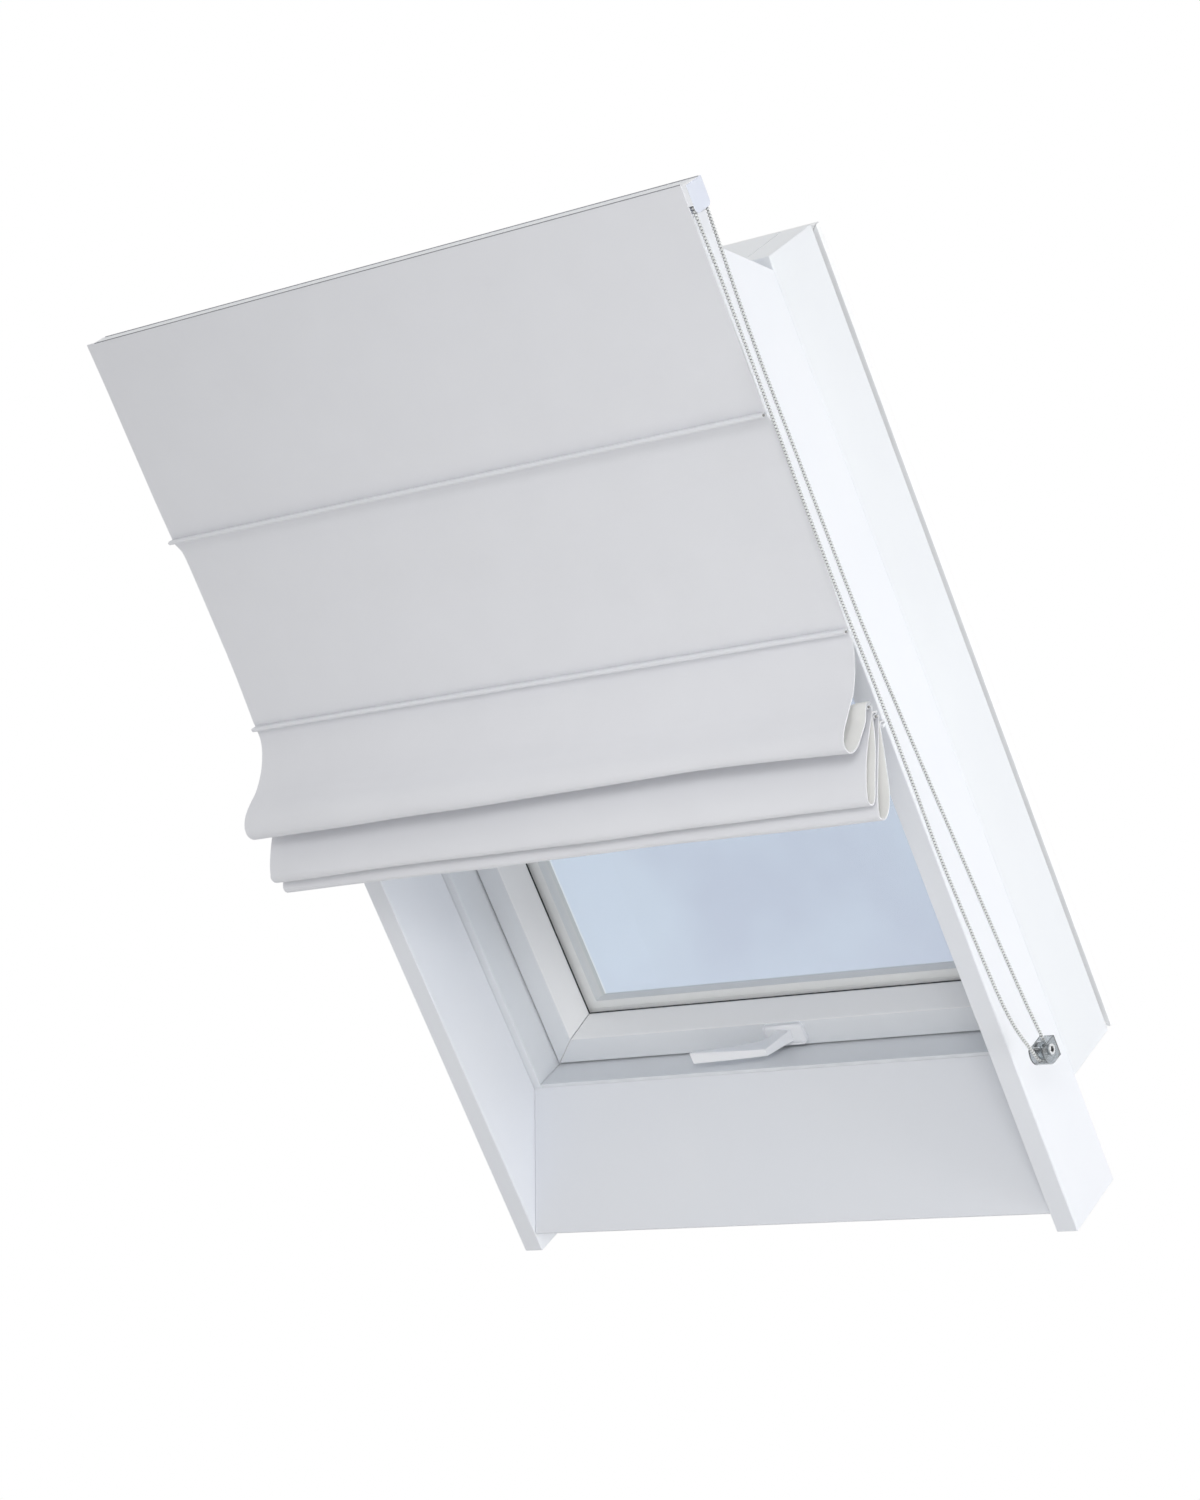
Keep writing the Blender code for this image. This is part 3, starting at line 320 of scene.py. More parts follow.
def makeGlazingBead():
    # Glazing bead faces of the same PVC-U with a glossier face, painted whiter: a painted highlight
    # where they face the light
    material, tree, shader, place = startMaterial("glazingBeadPvcuLit", "F9FAFB", 0.16)
    shader.inputs["Coat Weight"].default_value = 0.8
    shader.inputs["Coat Roughness"].default_value = 0.12
    mottle(tree, shader, place, "F8F9FA", "FBFBFC", 0.120)
    return material


def makePowderCoat(name, low, high):
    # Powder-coated aluminium: even colour with a slight orange peel, 1.2 mm across
    material, tree, shader, place = startMaterial(name, low, 0.38)
    mottle(tree, shader, place, low, high, 0.090)
    grain(tree, shader, place, 0.0012, 0.00010)
    return material


def makeMouldedPlastic():
    # Injection-moulded ABS with a spark-eroded satin face, a clean cold white
    material, tree, shader, place = startMaterial("mouldedAbs", "F5F7FA", 0.32)
    mottle(tree, shader, place, "F3F5F9", "F7F8FB", 0.030)
    grain(tree, shader, place, 0.0007, 0.00004)
    return material


def makeShadedSideAbs():
    # The same moulding grade with a finer satin, painted darker and bluer: painted shade on the drive
    # housing's faces turned right
    material, tree, shader, place = startMaterial("mouldedAbsShadedSide", "D6DBE7", 0.36)
    mottle(tree, shader, place, "D4D9E6", "D9DEE9", 0.030)
    grain(tree, shader, place, 0.0006, 0.00003)
    return material


def makeBeadPlastic():
    # Acetal beads, milky with a waxy gloss
    material, tree, shader, place = startMaterial("mouldedAcetal", "D6D8D8", 0.22)
    mottle(tree, shader, place, "D3D5D5", "DBDDDD", 0.008)
    return material


def makeCoreYarn():
    # Polyester yarn that the beads are moulded on; its dark grey is painted shade, so the gaps between
    # the beads read dark
    material, tree, shader, place = startMaterial("coreYarnShadeGrey", "858787", 0.7)
    mottle(tree, shader, place, "7C7E7E", "8F9191", 0.003)
    return material


def makeClearPlastic():
    # Clear polycarbonate, moulded: grey where it is thick, bright at its edges
    material, tree, shader, place = startMaterial("clearPolycarbonate", "CDD2D5", 0.06)
    shader.inputs["Transmission Weight"].default_value = 0.9
    shader.inputs["IOR"].default_value = 1.58
    grain(tree, shader, place, 0.0050, 0.00005)
    return material


def makeZinc():
    # Zinc-plated steel: silver, with spangles 3 mm across
    material, tree, shader, place = startMaterial("zincPlatedSteel", "C3C6C9", 0.34, Metallic=0.95)
    cells = addNode(tree, "ShaderNodeTexVoronoi", {"Vector": place, "Scale": 330.0})
    tone = addNode(tree, "ShaderNodeMix", {0: cells.outputs["Color"], 6: linear("B6B9BC"),
                                           7: linear("CED0D3")}, data_type="RGBA")
    tree.links.new(tone.outputs[2], shader.inputs["Base Color"])
    grain(tree, shader, place, 0.0010, 0.00003)
    return material


def makeScrewZinc():
    # Bright zinc; the middle of the head, round the cross recess, is painted near black: painted shade
    # in the recess
    recess, rim = 0.0028, 0.0036      # radii between which the dark fades out
    material, tree, shader, place = startMaterial("zincPlatedScrew", "DADCDE", 0.3, Metallic=0.7)
    middle = onRoof(0, chain["wheel"][1], chain["wheel"][2])
    offset = addNode(tree, "ShaderNodeVectorMath", {0: place, 1: middle}, operation="SUBTRACT")
    flat = addNode(tree, "ShaderNodeVectorMath", {0: offset.outputs["Vector"], 1: (0, 1, 1)},
                   operation="MULTIPLY")
    away = addNode(tree, "ShaderNodeVectorMath", {0: flat.outputs["Vector"]}, operation="LENGTH")
    ramp = addNode(tree, "ShaderNodeMapRange", {"Value": away.outputs["Value"],
                                                "From Min": recess, "From Max": rim})
    # near black in the middle, fading to zinc between the two radii: painted recess shade
    tone = addNode(tree, "ShaderNodeMix", {0: ramp.outputs[0], 6: linear("3A3B3C"),
                                           7: linear("E2E4E6")}, data_type="RGBA")
    tree.links.new(tone.outputs[2], shader.inputs["Base Color"])
    grain(tree, shader, place, 0.0008, 0.00003)
    return material


def makeSealRubber():
    # Black EPDM seal, matte with a dusty bloom
    material, tree, shader, place = startMaterial("epdmRubber", "1D1E20", 0.72)
    mottle(tree, shader, place, "18191B", "26272A", 0.010)
    grain(tree, shader, place, 0.0008, 0.00005)
    return material


def makeSpacerBar():
    # Warm-edge spacer between the panes, white plastic with a satin face
    material, tree, shader, place = startMaterial("warmEdgeSpacer", "F9FAFA", 0.5)
    mottle(tree, shader, place, "F8F9F9", "FBFBFB", 0.040)
    grain(tree, shader, place, 0.0009, 0.00005)
    return material


def makeSealant():
    # Silicone round the pane's edge, white and a little uneven
    material, tree, shader, place = startMaterial("siliconeSealant", "F9F9FA", 0.6)
    mottle(tree, shader, place, "F7F7F8", "FBFBFB", 0.012)
    grain(tree, shader, place, 0.0020, 0.00010)
    return material


# The coated field of the outer pane
pane = {
    "halfWidth": 0.2815,
    "halfHeight": 0.3850,
    "middleDown": 0.6115,
    "fade": 0.003,
    # the drifts and the deepening to the right are painted sky light, seen through the pane
    "drift": 0.2,           # metres, the width of one drift
    "towardsRight": -0.30,  # how much deeper a metre further right
}


def makeCoatedGlass():
    # Float glass with a sputtered solar coating, pale blue; its lighter drifts and deeper tone to the
    # right are painted sky light seen through the pane
    material, tree, shader, place = startMaterial("coatedGlassPaintedSky", "C4D2EA", 0.0)
    shader.inputs["Transmission Weight"].default_value = 1.0
    shader.inputs["IOR"].default_value = 1.45
    drift = addNode(tree, "ShaderNodeTexNoise", {"Vector": place, "Scale": 1 / pane["drift"],
                                                 "Detail": 4.0, "Roughness": 0.45})
    sideways = addNode(tree, "ShaderNodeVectorMath", {0: place, 1: (pane["towardsRight"], 0, 0)},
                       operation="DOT_PRODUCT")
    amount = addNode(tree, "ShaderNodeMath", {0: drift.outputs["Fac"], 1: sideways.outputs["Value"]},
                     operation="ADD")
    ramp = addNode(tree, "ShaderNodeValToRGB", {"Fac": amount.outputs[0]})
    ramp.color_ramp.elements[0].position = 0.36
    ramp.color_ramp.elements[0].color = linear("C3CEE2")
    ramp.color_ramp.elements[1].position = 0.62
    ramp.color_ramp.elements[1].color = linear("CCDAEC")
    # the coating is ground off along the pane's edge, where the glass is clear
    across = addNode(tree, "ShaderNodeVectorMath", {0: place, 1: (1, 0, 0)}, operation="DOT_PRODUCT")
    along = addNode(tree, "ShaderNodeVectorMath", {0: place, 1: -upSlope}, operation="DOT_PRODUCT")
    edges = []
    for way, middle, half in ((across, 0.0, pane["halfWidth"]),
                              (along, pane["middleDown"] - roof["mountDown"], pane["halfHeight"])):
        away = addNode(tree, "ShaderNodeMath", {0: way.outputs["Value"], 1: middle},
                       operation="SUBTRACT")
        size = addNode(tree, "ShaderNodeMath", {0: away.outputs[0]}, operation="ABSOLUTE")
        edges.append(addNode(tree, "ShaderNodeMapRange", {"Value": size.outputs[0],
                                                          "From Min": half,
                                                          "From Max": half + pane["fade"]}))
    bare = addNode(tree, "ShaderNodeMath", {0: edges[0].outputs[0], 1: edges[1].outputs[0]},
                   operation="MAXIMUM")
    tone = addNode(tree, "ShaderNodeMix", {0: bare.outputs[0], 6: ramp.outputs["Color"],
                                           7: linear("F6FAFA")}, data_type="RGBA")
    tree.links.new(tone.outputs[2], shader.inputs["Base Color"])
    return material


def makeClearGlass():
    # Plain float glass. Its share of alpha is what it reflects, so the spacer behind stays lit
    material, tree, shader, place = startMaterial("floatGlass", "F6FAF9", 0.0, Alpha=0.10)
    mottle(tree, shader, place, "F5F9F8", "F8FBFA", 0.300)
    return material


def makeFibreRod():
    # Pultruded glass fibre: grey, with fine lengthwise fibres, drawn 0.5 mm apart so that they show
    material, tree, shader, place = startMaterial("pultrudedFibre", "8E8F8C", 0.4)
    stretched = addNode(tree, "ShaderNodeMapping", {"Vector": place, "Scale": (4, 2000, 2000)})
    mottle(tree, shader, stretched.outputs["Vector"], "7C7D7A", "9FA09D", 1.0)
    return material


weave = makeBlackoutWeave()
foam = makeFoamBacking()
thread = makeSewingThread()
overlock = makeOverlockThread()
softLip = makeSoftLip()
paint = makeBoardPaint()
pvc = makeWindowPvc()
beadPvc = makeGlazingBead()
railCoat = makePowderCoat("powderCoatedAluminium", "E6E8EC", "ECEEF1")
coverCoat = makePowderCoat("powderCoatedCover", "F2F3F4", "F7F8F9")
absPlastic = makeMouldedPlastic()
shadedSideAbs = makeShadedSideAbs()
acetal = makeBeadPlastic()
coreYarn = makeCoreYarn()
polycarbonate = makeClearPlastic()
zinc = makeZinc()
screwZinc = makeScrewZinc()
rubber = makeSealRubber()
spacerBar = makeSpacerBar()
sealant = makeSealant()
coatedGlass = makeCoatedGlass()
clearGlass = makeClearGlass()
fibre = makeFibreRod()
print("materials made")


# Bead chain, from its route
def chainLine():
    wheelX, wheelDown, wheelFront = chain["wheel"]
    radius = chain["pitchRadius"]
    turn = []
    for k in range(chain["turnSteps"] + 1):
        angle = (math.pi - chain["entry"]) * k / chain["turnSteps"]
        turn.append((wheelDown + radius * math.sin(angle), wheelFront - radius * math.cos(angle)))
    route = [*smoothLine([*chain["back"], turn[0]], 2)[:-1], *turn,
             *smoothLine([turn[-1], *chain["front"]], 2)[1:]]
    line = []
    for down, front in route:
        share = (down - chain["straightTo"]) / (wheelDown - chain["straightTo"])
        x = chain["topX"] + (wheelX - chain["topX"]) * min(max(share, 0), 1)
        line.append(Vector((x, -down, front)))
    return line


def makeChain():
    line = chainLine()
    # one bead and a short stretch of its core, repeated and bent along the route
    bpy.ops.object.select_all(action="DESELECT")
    bpy.ops.mesh.primitive_uv_sphere_add(segments=chain["beadSegments"],
                                         ring_count=chain["beadRings"],
                                         radius=chain["diameter"] / 2,
                                         rotation=(0, math.pi / 2, 0))
    bead = bpy.context.object
    bead.scale.z = chain["beadLength"] / chain["diameter"]
    bpy.ops.mesh.primitive_cylinder_add(vertices=chain["coreSides"], radius=chain["coreRadius"],
                                        depth=chain["pitch"], end_fill_type="NOTHING",
                                        rotation=(0, math.pi / 2, 0),
                                        location=(chain["pitch"] / 2, 0, 0))
    core = bpy.context.object
    dress(bead, acetal)
    dress(core, coreYarn)
    bead.select_set(True)
    core.select_set(True)
    bpy.context.view_layer.objects.active = bead
    bpy.ops.object.join()
    bpy.ops.object.transform_apply(location=True, rotation=True, scale=True)
    bead.name = "beadChain"
    curve = bpy.data.curves.new("chainRoute", "CURVE")
    curve.dimensions = "3D"
    spline = curve.splines.new("POLY")
    even = evenLine(line, chain["routePoints"])
    spline.points.add(len(even) - 1)
    for point, place in zip(spline.points, even):
        point.co = (*place, 1)
    route = bpy.data.objects.new("chainRoute", curve)
    scene.collection.objects.link(route)
    count = int(lineLength(line) / chain["pitch"])
    modify(bead, "ARRAY", count=count, use_relative_offset=False, use_constant_offset=True,
           constant_offset_displace=(chain["pitch"], 0, 0))
    modify(bead, "CURVE", object=route, deform_axis="POS_X")
    bpy.data.objects.remove(route, do_unlink=True)
    smooth(bead, 60, evenOut=False)
    tiltToRoof(bead)
    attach(bead, "surround")
    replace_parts(bead, "operating_chain")
    print("chain with", count, "beads,", round(lineLength(line), 3), "m")


makeChain()


# The blind's cloth: one length, drawn as five panels and the tucks round the rods between them
cloth = {
    "left": -0.4091,
    "right": 0.4157,
    "thick": 0.0007,
    "sideHem": 0.014,
    "hemGap": 0.0002,
    "columns": 96,
    "rowHeight": 0.0035,
    "pocketDown": (0.240, 0.481, 0.562, 0.576, 0.590),
    "pocketFront": (0.0435, 0.0435, 0.0535, 0.0475, 0.0415),
    "tuckHalf": 0.0019,      # half the tuck's height at its seam
    "tuckBack": 0.0040,      # seam behind the pocket's middle
    # down and front, in metres, from the headrail to the hem; the tucks' seams are added at the ends
    "profiles": (
        ((-0.0029, 0.0382), (0.060, 0.0384), (0.120, 0.0390), (0.190, 0.0395)),
        ((0.2470, 0.0368), (0.2557, 0.0328), (0.268, 0.0314), (0.319, 0.0322),
         (0.398, 0.0350), (0.450, 0.0378)),
        ((0.4930, 0.0386), (0.508, 0.0440), (0.526, 0.0570), (0.5405, 0.0740),
         (0.5485, 0.0950), (0.5565, 0.1120), (0.567, 0.1222), (0.5780, 0.1225), (0.5860, 0.1140),
         (0.5862, 0.1000), (0.5785, 0.0820), (0.5695, 0.0680), (0.5605, 0.0605), (0.5565, 0.0550)),
        ((0.5684, 0.0530), (0.5780, 0.0650), (0.598, 0.0875), (0.615, 0.1030),
         (0.629, 0.1130), (0.639, 0.1160), (0.6465, 0.1113), (0.6435, 0.1020), (0.624, 0.0868),
         (0.600, 0.0688), (0.5790, 0.0566), (0.5724, 0.0543), (0.5708, 0.0500)),
        ((0.5830, 0.0482), (0.600, 0.0630), (0.626, 0.0846), (0.646, 0.0997),
         (0.657, 0.1060), (0.6655, 0.1040), (0.6680, 0.0960), (0.6625, 0.0850), (0.6480, 0.0730),
         (0.622, 0.0610), (0.6010, 0.0532), (0.5925, 0.0498), (0.5868, 0.0474), (0.5852, 0.0430)),
    ),
    "ripple": (0.0006, 0.0010, 0.0034, 0.0016, 0.0014),   # hand-made unevenness of each panel
    "sideways": (1.1, 1.4, 2.6, 3.0, 3.4),                # ripples per metre of width
    "grow": (0.0, 0.0006, 0.0016, 0.0010, 0.0010),        # spare cloth that the simulation takes up
    "reach": (0.0, 0.0008, 0.0018, 0.0010, 0.0010),       # furthest that it may move a point
    "bodies": ("surround", "rod_one", "rod_two", "rod_three", "rod_four", "hem"),
    "simulatedFrames": 16,
}
wrinkle = {
    "fade": 0.8,             # how quickly it starts beside a seam
    "rows": 1.6,             # waves along a panel
    "fineShare": 0.35,
    "fineSideways": 2.7,     # times as many waves in the fine part
    "fineRows": 3,
    "fineSeed": 9,
}
tuck = {
    "noseRadius": 0.0023,
    "noseSteps": 7,
    "neck": (0.0017, 0.0030),          # half height, and how far behind the middle
    "shoulder": (0.0021, 0.0002),      # half height, and how far before the middle
    "rows": 22,
    "ripple": 0.00022,
    "sideways": 9.0,
    "seed": 20.5,
}


def seamPoint(index, side):
    down = cloth["pocketDown"][index] + side * cloth["tuckHalf"]
    return (down, cloth["pocketFront"][index] - cloth["tuckBack"])


def layCloth(name, line, ripple, sideways, seed):
    # a grid laid along a (down, front) line and drawn out over the blind's width
    rows = len(line) - 1
    bpy.ops.object.select_all(action="DESELECT")
    bpy.ops.mesh.primitive_grid_add(x_subdivisions=cloth["columns"], y_subdivisions=rows, size=1)
    piece = bpy.context.object
    piece.name = name
    width = cloth["right"] - cloth["left"]
    for vert in piece.data.vertices:
        row = round((0.5 - vert.co.y) * rows)
        x = cloth["left"] + (vert.co.x + 0.5) * width
        before, after = line[max(row - 1, 0)], line[min(row + 1, rows)]
        run = (after - before).normalized()
        free = math.sin(math.pi * row / rows) ** wrinkle["fade"] if 0 < row < rows else 0.0
        wave = noise.noise(Vector((x * sideways, row / rows * wrinkle["rows"], seed)))
        fine = noise.noise(Vector((x * sideways * wrinkle["fineSideways"],
                                   row / rows * wrinkle["fineRows"], seed + wrinkle["fineSeed"])))
        wave += wrinkle["fineShare"] * fine
        place = line[row] + Vector((-run.y, run.x)) * (ripple * free * 2 * wave)
        vert.co = (x, -place.x, place.y)
    length = lineLength(line)
    for corner in piece.data.uv_layers["UVMap"].data:      # flat cloth, in metres
        corner.uv = (corner.uv.x * width, corner.uv.y * length)
    return piece


def relaxCloth(piece, rows, columns, grow, reach):
    # the cloth is a little longer than its place, so it settles into soft buckles between the seams
    if not grow:
        return
    before = [vert.co.copy() for vert in piece.data.vertices]
    across = columns + 1
    held = piece.vertex_groups.new(name="sewn")
    held.add([i for i in range(len(before)) if i // across in (0, rows)], 1.0, "REPLACE")
    pick(piece)
    step = piece.modifiers.new("relax", "CLOTH")
    settings = step.settings
    settings.vertex_group_mass = "sewn"
    settings.quality = 6
    settings.mass = 0.3
    settings.tension_stiffness = 25
    settings.compression_stiffness = 25
    settings.shear_stiffness = 10
    settings.bending_stiffness = 3
    settings.shrink_min = -grow
    settings.effector_weights.gravity = 0.03
    step.point_cache.frame_end = cloth["simulatedFrames"]
    for number in range(1, cloth["simulatedFrames"] + 1):
        scene.frame_set(number)
    bpy.ops.object.modifier_apply(modifier=step.name)
    scene.frame_set(1)
    for vert, start in zip(piece.data.vertices, before):
        moved = vert.co - start
        if moved.length > reach:
            vert.co = start + moved * (reach / moved.length)
    piece.vertex_groups.clear()


def turnSideHems(piece):
    # both side edges are turned in and welded, so the cloth is double there
    inner = (cloth["left"] + cloth["sideHem"], cloth["right"] - cloth["sideHem"])
    pick(piece)
    bpy.ops.object.mode_set(mode="EDIT")
    bpy.ops.mesh.select_all(action="DESELECT")
    bpy.ops.object.mode_set(mode="OBJECT")
    for face in piece.data.polygons:
        face.select = not inner[0] < face.center.x < inner[1]
    bpy.ops.object.mode_set(mode="EDIT")
    bpy.ops.mesh.duplicate()
    bpy.ops.transform.shrink_fatten(value=-cloth["thick"] - cloth["hemGap"])
    bpy.ops.object.mode_set(mode="OBJECT")


def finishCloth(piece):
    modify(piece, "SOLIDIFY", thickness=cloth["thick"], offset=-1, material_offset=1,
           material_offset_rim=0, use_even_offset=True)      # the rim is the hem's fold: weave
    smooth(piece, 60, evenOut=False)


def makePanel(index):
    points = list(cloth["profiles"][index])
    if index:
        points.insert(0, seamPoint(index - 1, 1))
    points.append(seamPoint(index, -1))
    line = smoothLine(points, 6)
    length = lineLength(line)
    rows = round(length / cloth["rowHeight"])
    piece = layCloth(f"clothPanel{index + 1}", evenLine(line, rows), cloth["ripple"][index],
                     cloth["sideways"][index], 3.7 * index)
    tiltToRoof(piece)
    relaxCloth(piece, rows, cloth["columns"], cloth["grow"][index], cloth["reach"][index])
    turnSideHems(piece)
    dress(piece, weave, foam)
    finishCloth(piece)
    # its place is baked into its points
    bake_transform(piece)
    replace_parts(piece, f"fabric_panel_{index + 1}")
    return piece, length


def makeTuck(index):
    # cloth sewn round a rod: two layers from the seam, and a round end towards the room
    down, front = cloth["pocketDown"][index], cloth["pocketFront"][index]
    radius, steps = tuck["noseRadius"], tuck["noseSteps"]
    nose = front + radius
    neckHalf, neckBack = tuck["neck"]
    shoulderHalf, shoulderFront = tuck["shoulder"]
    points = [seamPoint(index, -1), (down - neckHalf, front - neckBack),
              (down - shoulderHalf, front + shoulderFront)]
    for k in range(steps):
        angle = math.pi * (k + 0.5) / steps
        points.append((down - radius * math.cos(angle), nose + radius * math.sin(angle)))
    points += [(down + shoulderHalf, front + shoulderFront), (down + neckHalf, front - neckBack),
               seamPoint(index, 1)]
    line = evenLine(smoothLine(points, 4), tuck["rows"])
    piece = layCloth(f"rodPocket{index + 1}" if index < 4 else "hemPocket", line, tuck["ripple"],
                     tuck["sideways"], tuck["seed"] + index)
    dress(piece, weave, foam)
    tiltToRoof(piece)
    finishCloth(piece)
    body = cloth["bodies"][index + 1]
    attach(piece, body)
    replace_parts(piece, f"rod_pocket_{index + 1}" if index < 4 else "hem_pocket")
    return piece


def makeStitches(index):
    # lockstitches along both sides of the tuck's seam, drawn as short round threads
    stitch = {
        "length": 0.0024, "pitch": 0.0032, "radius": 0.00022,
        "start": 0.003, "spare": 0.004,            # from the cloth's left edge, and of its width
        "fromSeam": 0.0007, "front": 0.0016,
    }
    width = cloth["right"] - cloth["left"]
    count = int((width - stitch["spare"]) / stitch["pitch"])
    made = []
    for side in (-1, 1):
        down, front = seamPoint(index, side)
        bpy.ops.object.select_all(action="DESELECT")
        bpy.ops.mesh.primitive_cylinder_add(vertices=6, radius=stitch["radius"],
                                            depth=stitch["length"], rotation=(0, math.pi / 2, 0))
        piece = bpy.context.object
        bpy.ops.object.transform_apply(location=True, rotation=True, scale=True)
        for vert in piece.data.vertices:
            vert.co.y -= down + side * stitch["fromSeam"]
            vert.co.z += front + stitch["front"]
            vert.co.x += cloth["left"] + stitch["start"]
        modify(piece, "ARRAY", count=count, use_relative_offset=False, use_constant_offset=True,
               constant_offset_displace=(stitch["pitch"], 0, 0))
        made.append(piece)
    pick(made[0])
    made[1].select_set(True)
    bpy.ops.object.join()
    piece = made[0]
    piece.name = f"seamStitches{index + 1}"
    smooth(piece)
    dress(piece, thread)
    tiltToRoof(piece)
    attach(piece, cloth["bodies"][index + 1])
    return piece


def makeTopEdge():
    # overlock stitches that bind the cloth's top edge; their grey is painted shade, a dark line along
    # that edge
    edge = {"height": 0.0009, "thick": 0.0012, "proud": 0.0002, "inset": 0.012, "round": 0.0003}
    down, front = cloth["profiles"][0][0]
    bpy.ops.object.select_all(action="DESELECT")
    bpy.ops.mesh.primitive_cube_add(size=1)
    piece = bpy.context.object
    piece.name = "clothTopEdge"
    left = cloth["left"] + edge["inset"]
    width = cloth["right"] - left
    for vert in piece.data.vertices:
        vert.co = (left + (vert.co.x + 0.5) * width,
                   edge["proud"] - down - (0.5 - vert.co.y) * edge["height"],
                   front - cloth["thick"] / 2 + vert.co.z * edge["thick"])
    modify(piece, "BEVEL", width=edge["round"], segments=2, limit_method="ANGLE")
    smooth(piece)
    dress(piece, overlock)
    tiltToRoof(piece)
    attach(piece, "surround")
    return piece


def makeBlindCloth():
    panels = [makePanel(index) for index in range(5)]
    for index, (panel, length) in enumerate(panels):
        withPieces = [makeTuck(index)]
        if index == 0:
            withPieces.append(makeTopEdge())
        if index < 2:
            withPieces.append(makeStitches(index))
        print("panel", index + 1, "cut", round(length, 4), "m long")


makeBlindCloth()


# Rigid pieces whose solids need only eased edges: merged copies with a fine bevel
easing = {
    "mergeWithin": 0.000005,
    "flatWithin": math.radians(0.5),
    "bevelFrom": math.radians(32),
    "smoothTo": 40,
    # faces of the drive housing turned further right than this get the darker plastic: painted shade
    "coverSide": 0.7,           # faces of the housing turned right, of its outer cover
    "slanting": (0.25, 0.97),   # how far a glazing bead's faces look into the room
}


def easedCopy(node, width, material):
    source = nodes[node]
    name = "".join(word.capitalize() for word in node.split("_"))
    piece = bpy.data.objects.new(name[0].lower() + name[1:], source.data.copy())
    scene.collection.objects.link(piece)
    pick(piece)
    bpy.ops.object.mode_set(mode="EDIT")
    bpy.ops.mesh.select_all(action="SELECT")
    bpy.ops.mesh.remove_doubles(threshold=easing["mergeWithin"])
    bpy.ops.mesh.dissolve_limited(angle_limit=easing["flatWithin"])
    bpy.ops.object.mode_set(mode="OBJECT")
    modify(piece, "BEVEL", width=width, segments=2, limit_method="ANGLE",
           angle_limit=easing["bevelFrom"])
    smooth(piece, easing["smoothTo"])
    dress(piece, material)
    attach(piece, source["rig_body"])
    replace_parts(piece, node)
    return piece


easedNodes = (
    # nodes, edge radius in metres, finish, the record's slot
    (("lining_left", "lining_right"), 0.0014, paint, "board_paint"),
    (("lining_sill", "lining_head"), 0.0008, paint, "board_paint"),
    (("frame_left", "frame_right", "frame_top", "frame_bottom"), 0.0006, pvc, "window_pvc"),
    (("sash_left", "sash_right", "sash_top", "sash_bottom"), 0.0006, pvc, "window_pvc"),
    (("cover_left", "cover_right", "cover_top", "cover_bottom"), 0.0006, coverCoat, "roof_cover"),
    (("drive_housing",), 0.0005, absPlastic, "white_plastic"),
    (("end_cap_left",), 0.0004, absPlastic, "white_plastic"),
    (("support_slat",), 0.0004, railCoat, "rail_white"),
    (("hinge_fixed_left", "hinge_fixed_right", "hinge_moving_left", "hinge_moving_right"), 0.0003,
     zinc, "zinc"),
    (("rail_bracket_left", "rail_bracket_right"), 0.0004, zinc, "zinc"),
    (("tensioner_holder",), 0.0003, polycarbonate, "clear_plastic"),
    (("tensioner_screw",), 0.0003, screwZinc, "zinc"),
    (("tensioner_wheel",), 0.0003, polycarbonate, "clear_plastic"),
)
intoRoom = toRoof.to_3x3() @ Vector((0, 0, 1))
slantFrom, slantTo = easing["slanting"]
for names, width, material, slotName in easedNodes:
    for node in names:
        eased = easedCopy(node, width, material)
        if node == "drive_housing":
            # the faces turned right get the darker, bluer plastic: painted shade on that side of the
            # housing
            eased.data.materials.append(shadedSideAbs)      # its outer cover is a separate moulding
            for face in eased.data.polygons:
                face.material_index = 1 if face.normal.x > easing["coverSide"] else 0
        elif node.startswith("sash"):
            # the sash faces slanting into the room get the whiter PVC-U, a painted highlight; the rest
            # keep the greyer PVC-U, painted shade
            eased.data.materials.append(beadPvc)           # the slanting faces are the glazing beads
            for face in eased.data.polygons:
                turned = slantFrom < face.normal.dot(intoRoom) < slantTo
                face.material_index = 1 if turned else 0
print("rigid pieces eased")


# Headrail: an extruded channel with two fine grooves along its top
rail = {
    "left": -0.4043, "right": 0.4137, "top": -0.001, "height": 0.034,
    "back": 0.0097, "depth": 0.0263, "wall": 0.0015, "lip": 0.005,
    "groove": 0.0009, "grooveDepth": 0.0007, "grooveFromEdge": 0.0030,
    "edge": 0.00025,
    "lipRise": 0.0006, "lipSunk": 0.0002, "lipFrom": 0.0002, "lipTo": 0.0016, "lipEdge": 0.0003,
    "lipEnd": 0.4209,      # the grey lip runs on over the drive housing
}


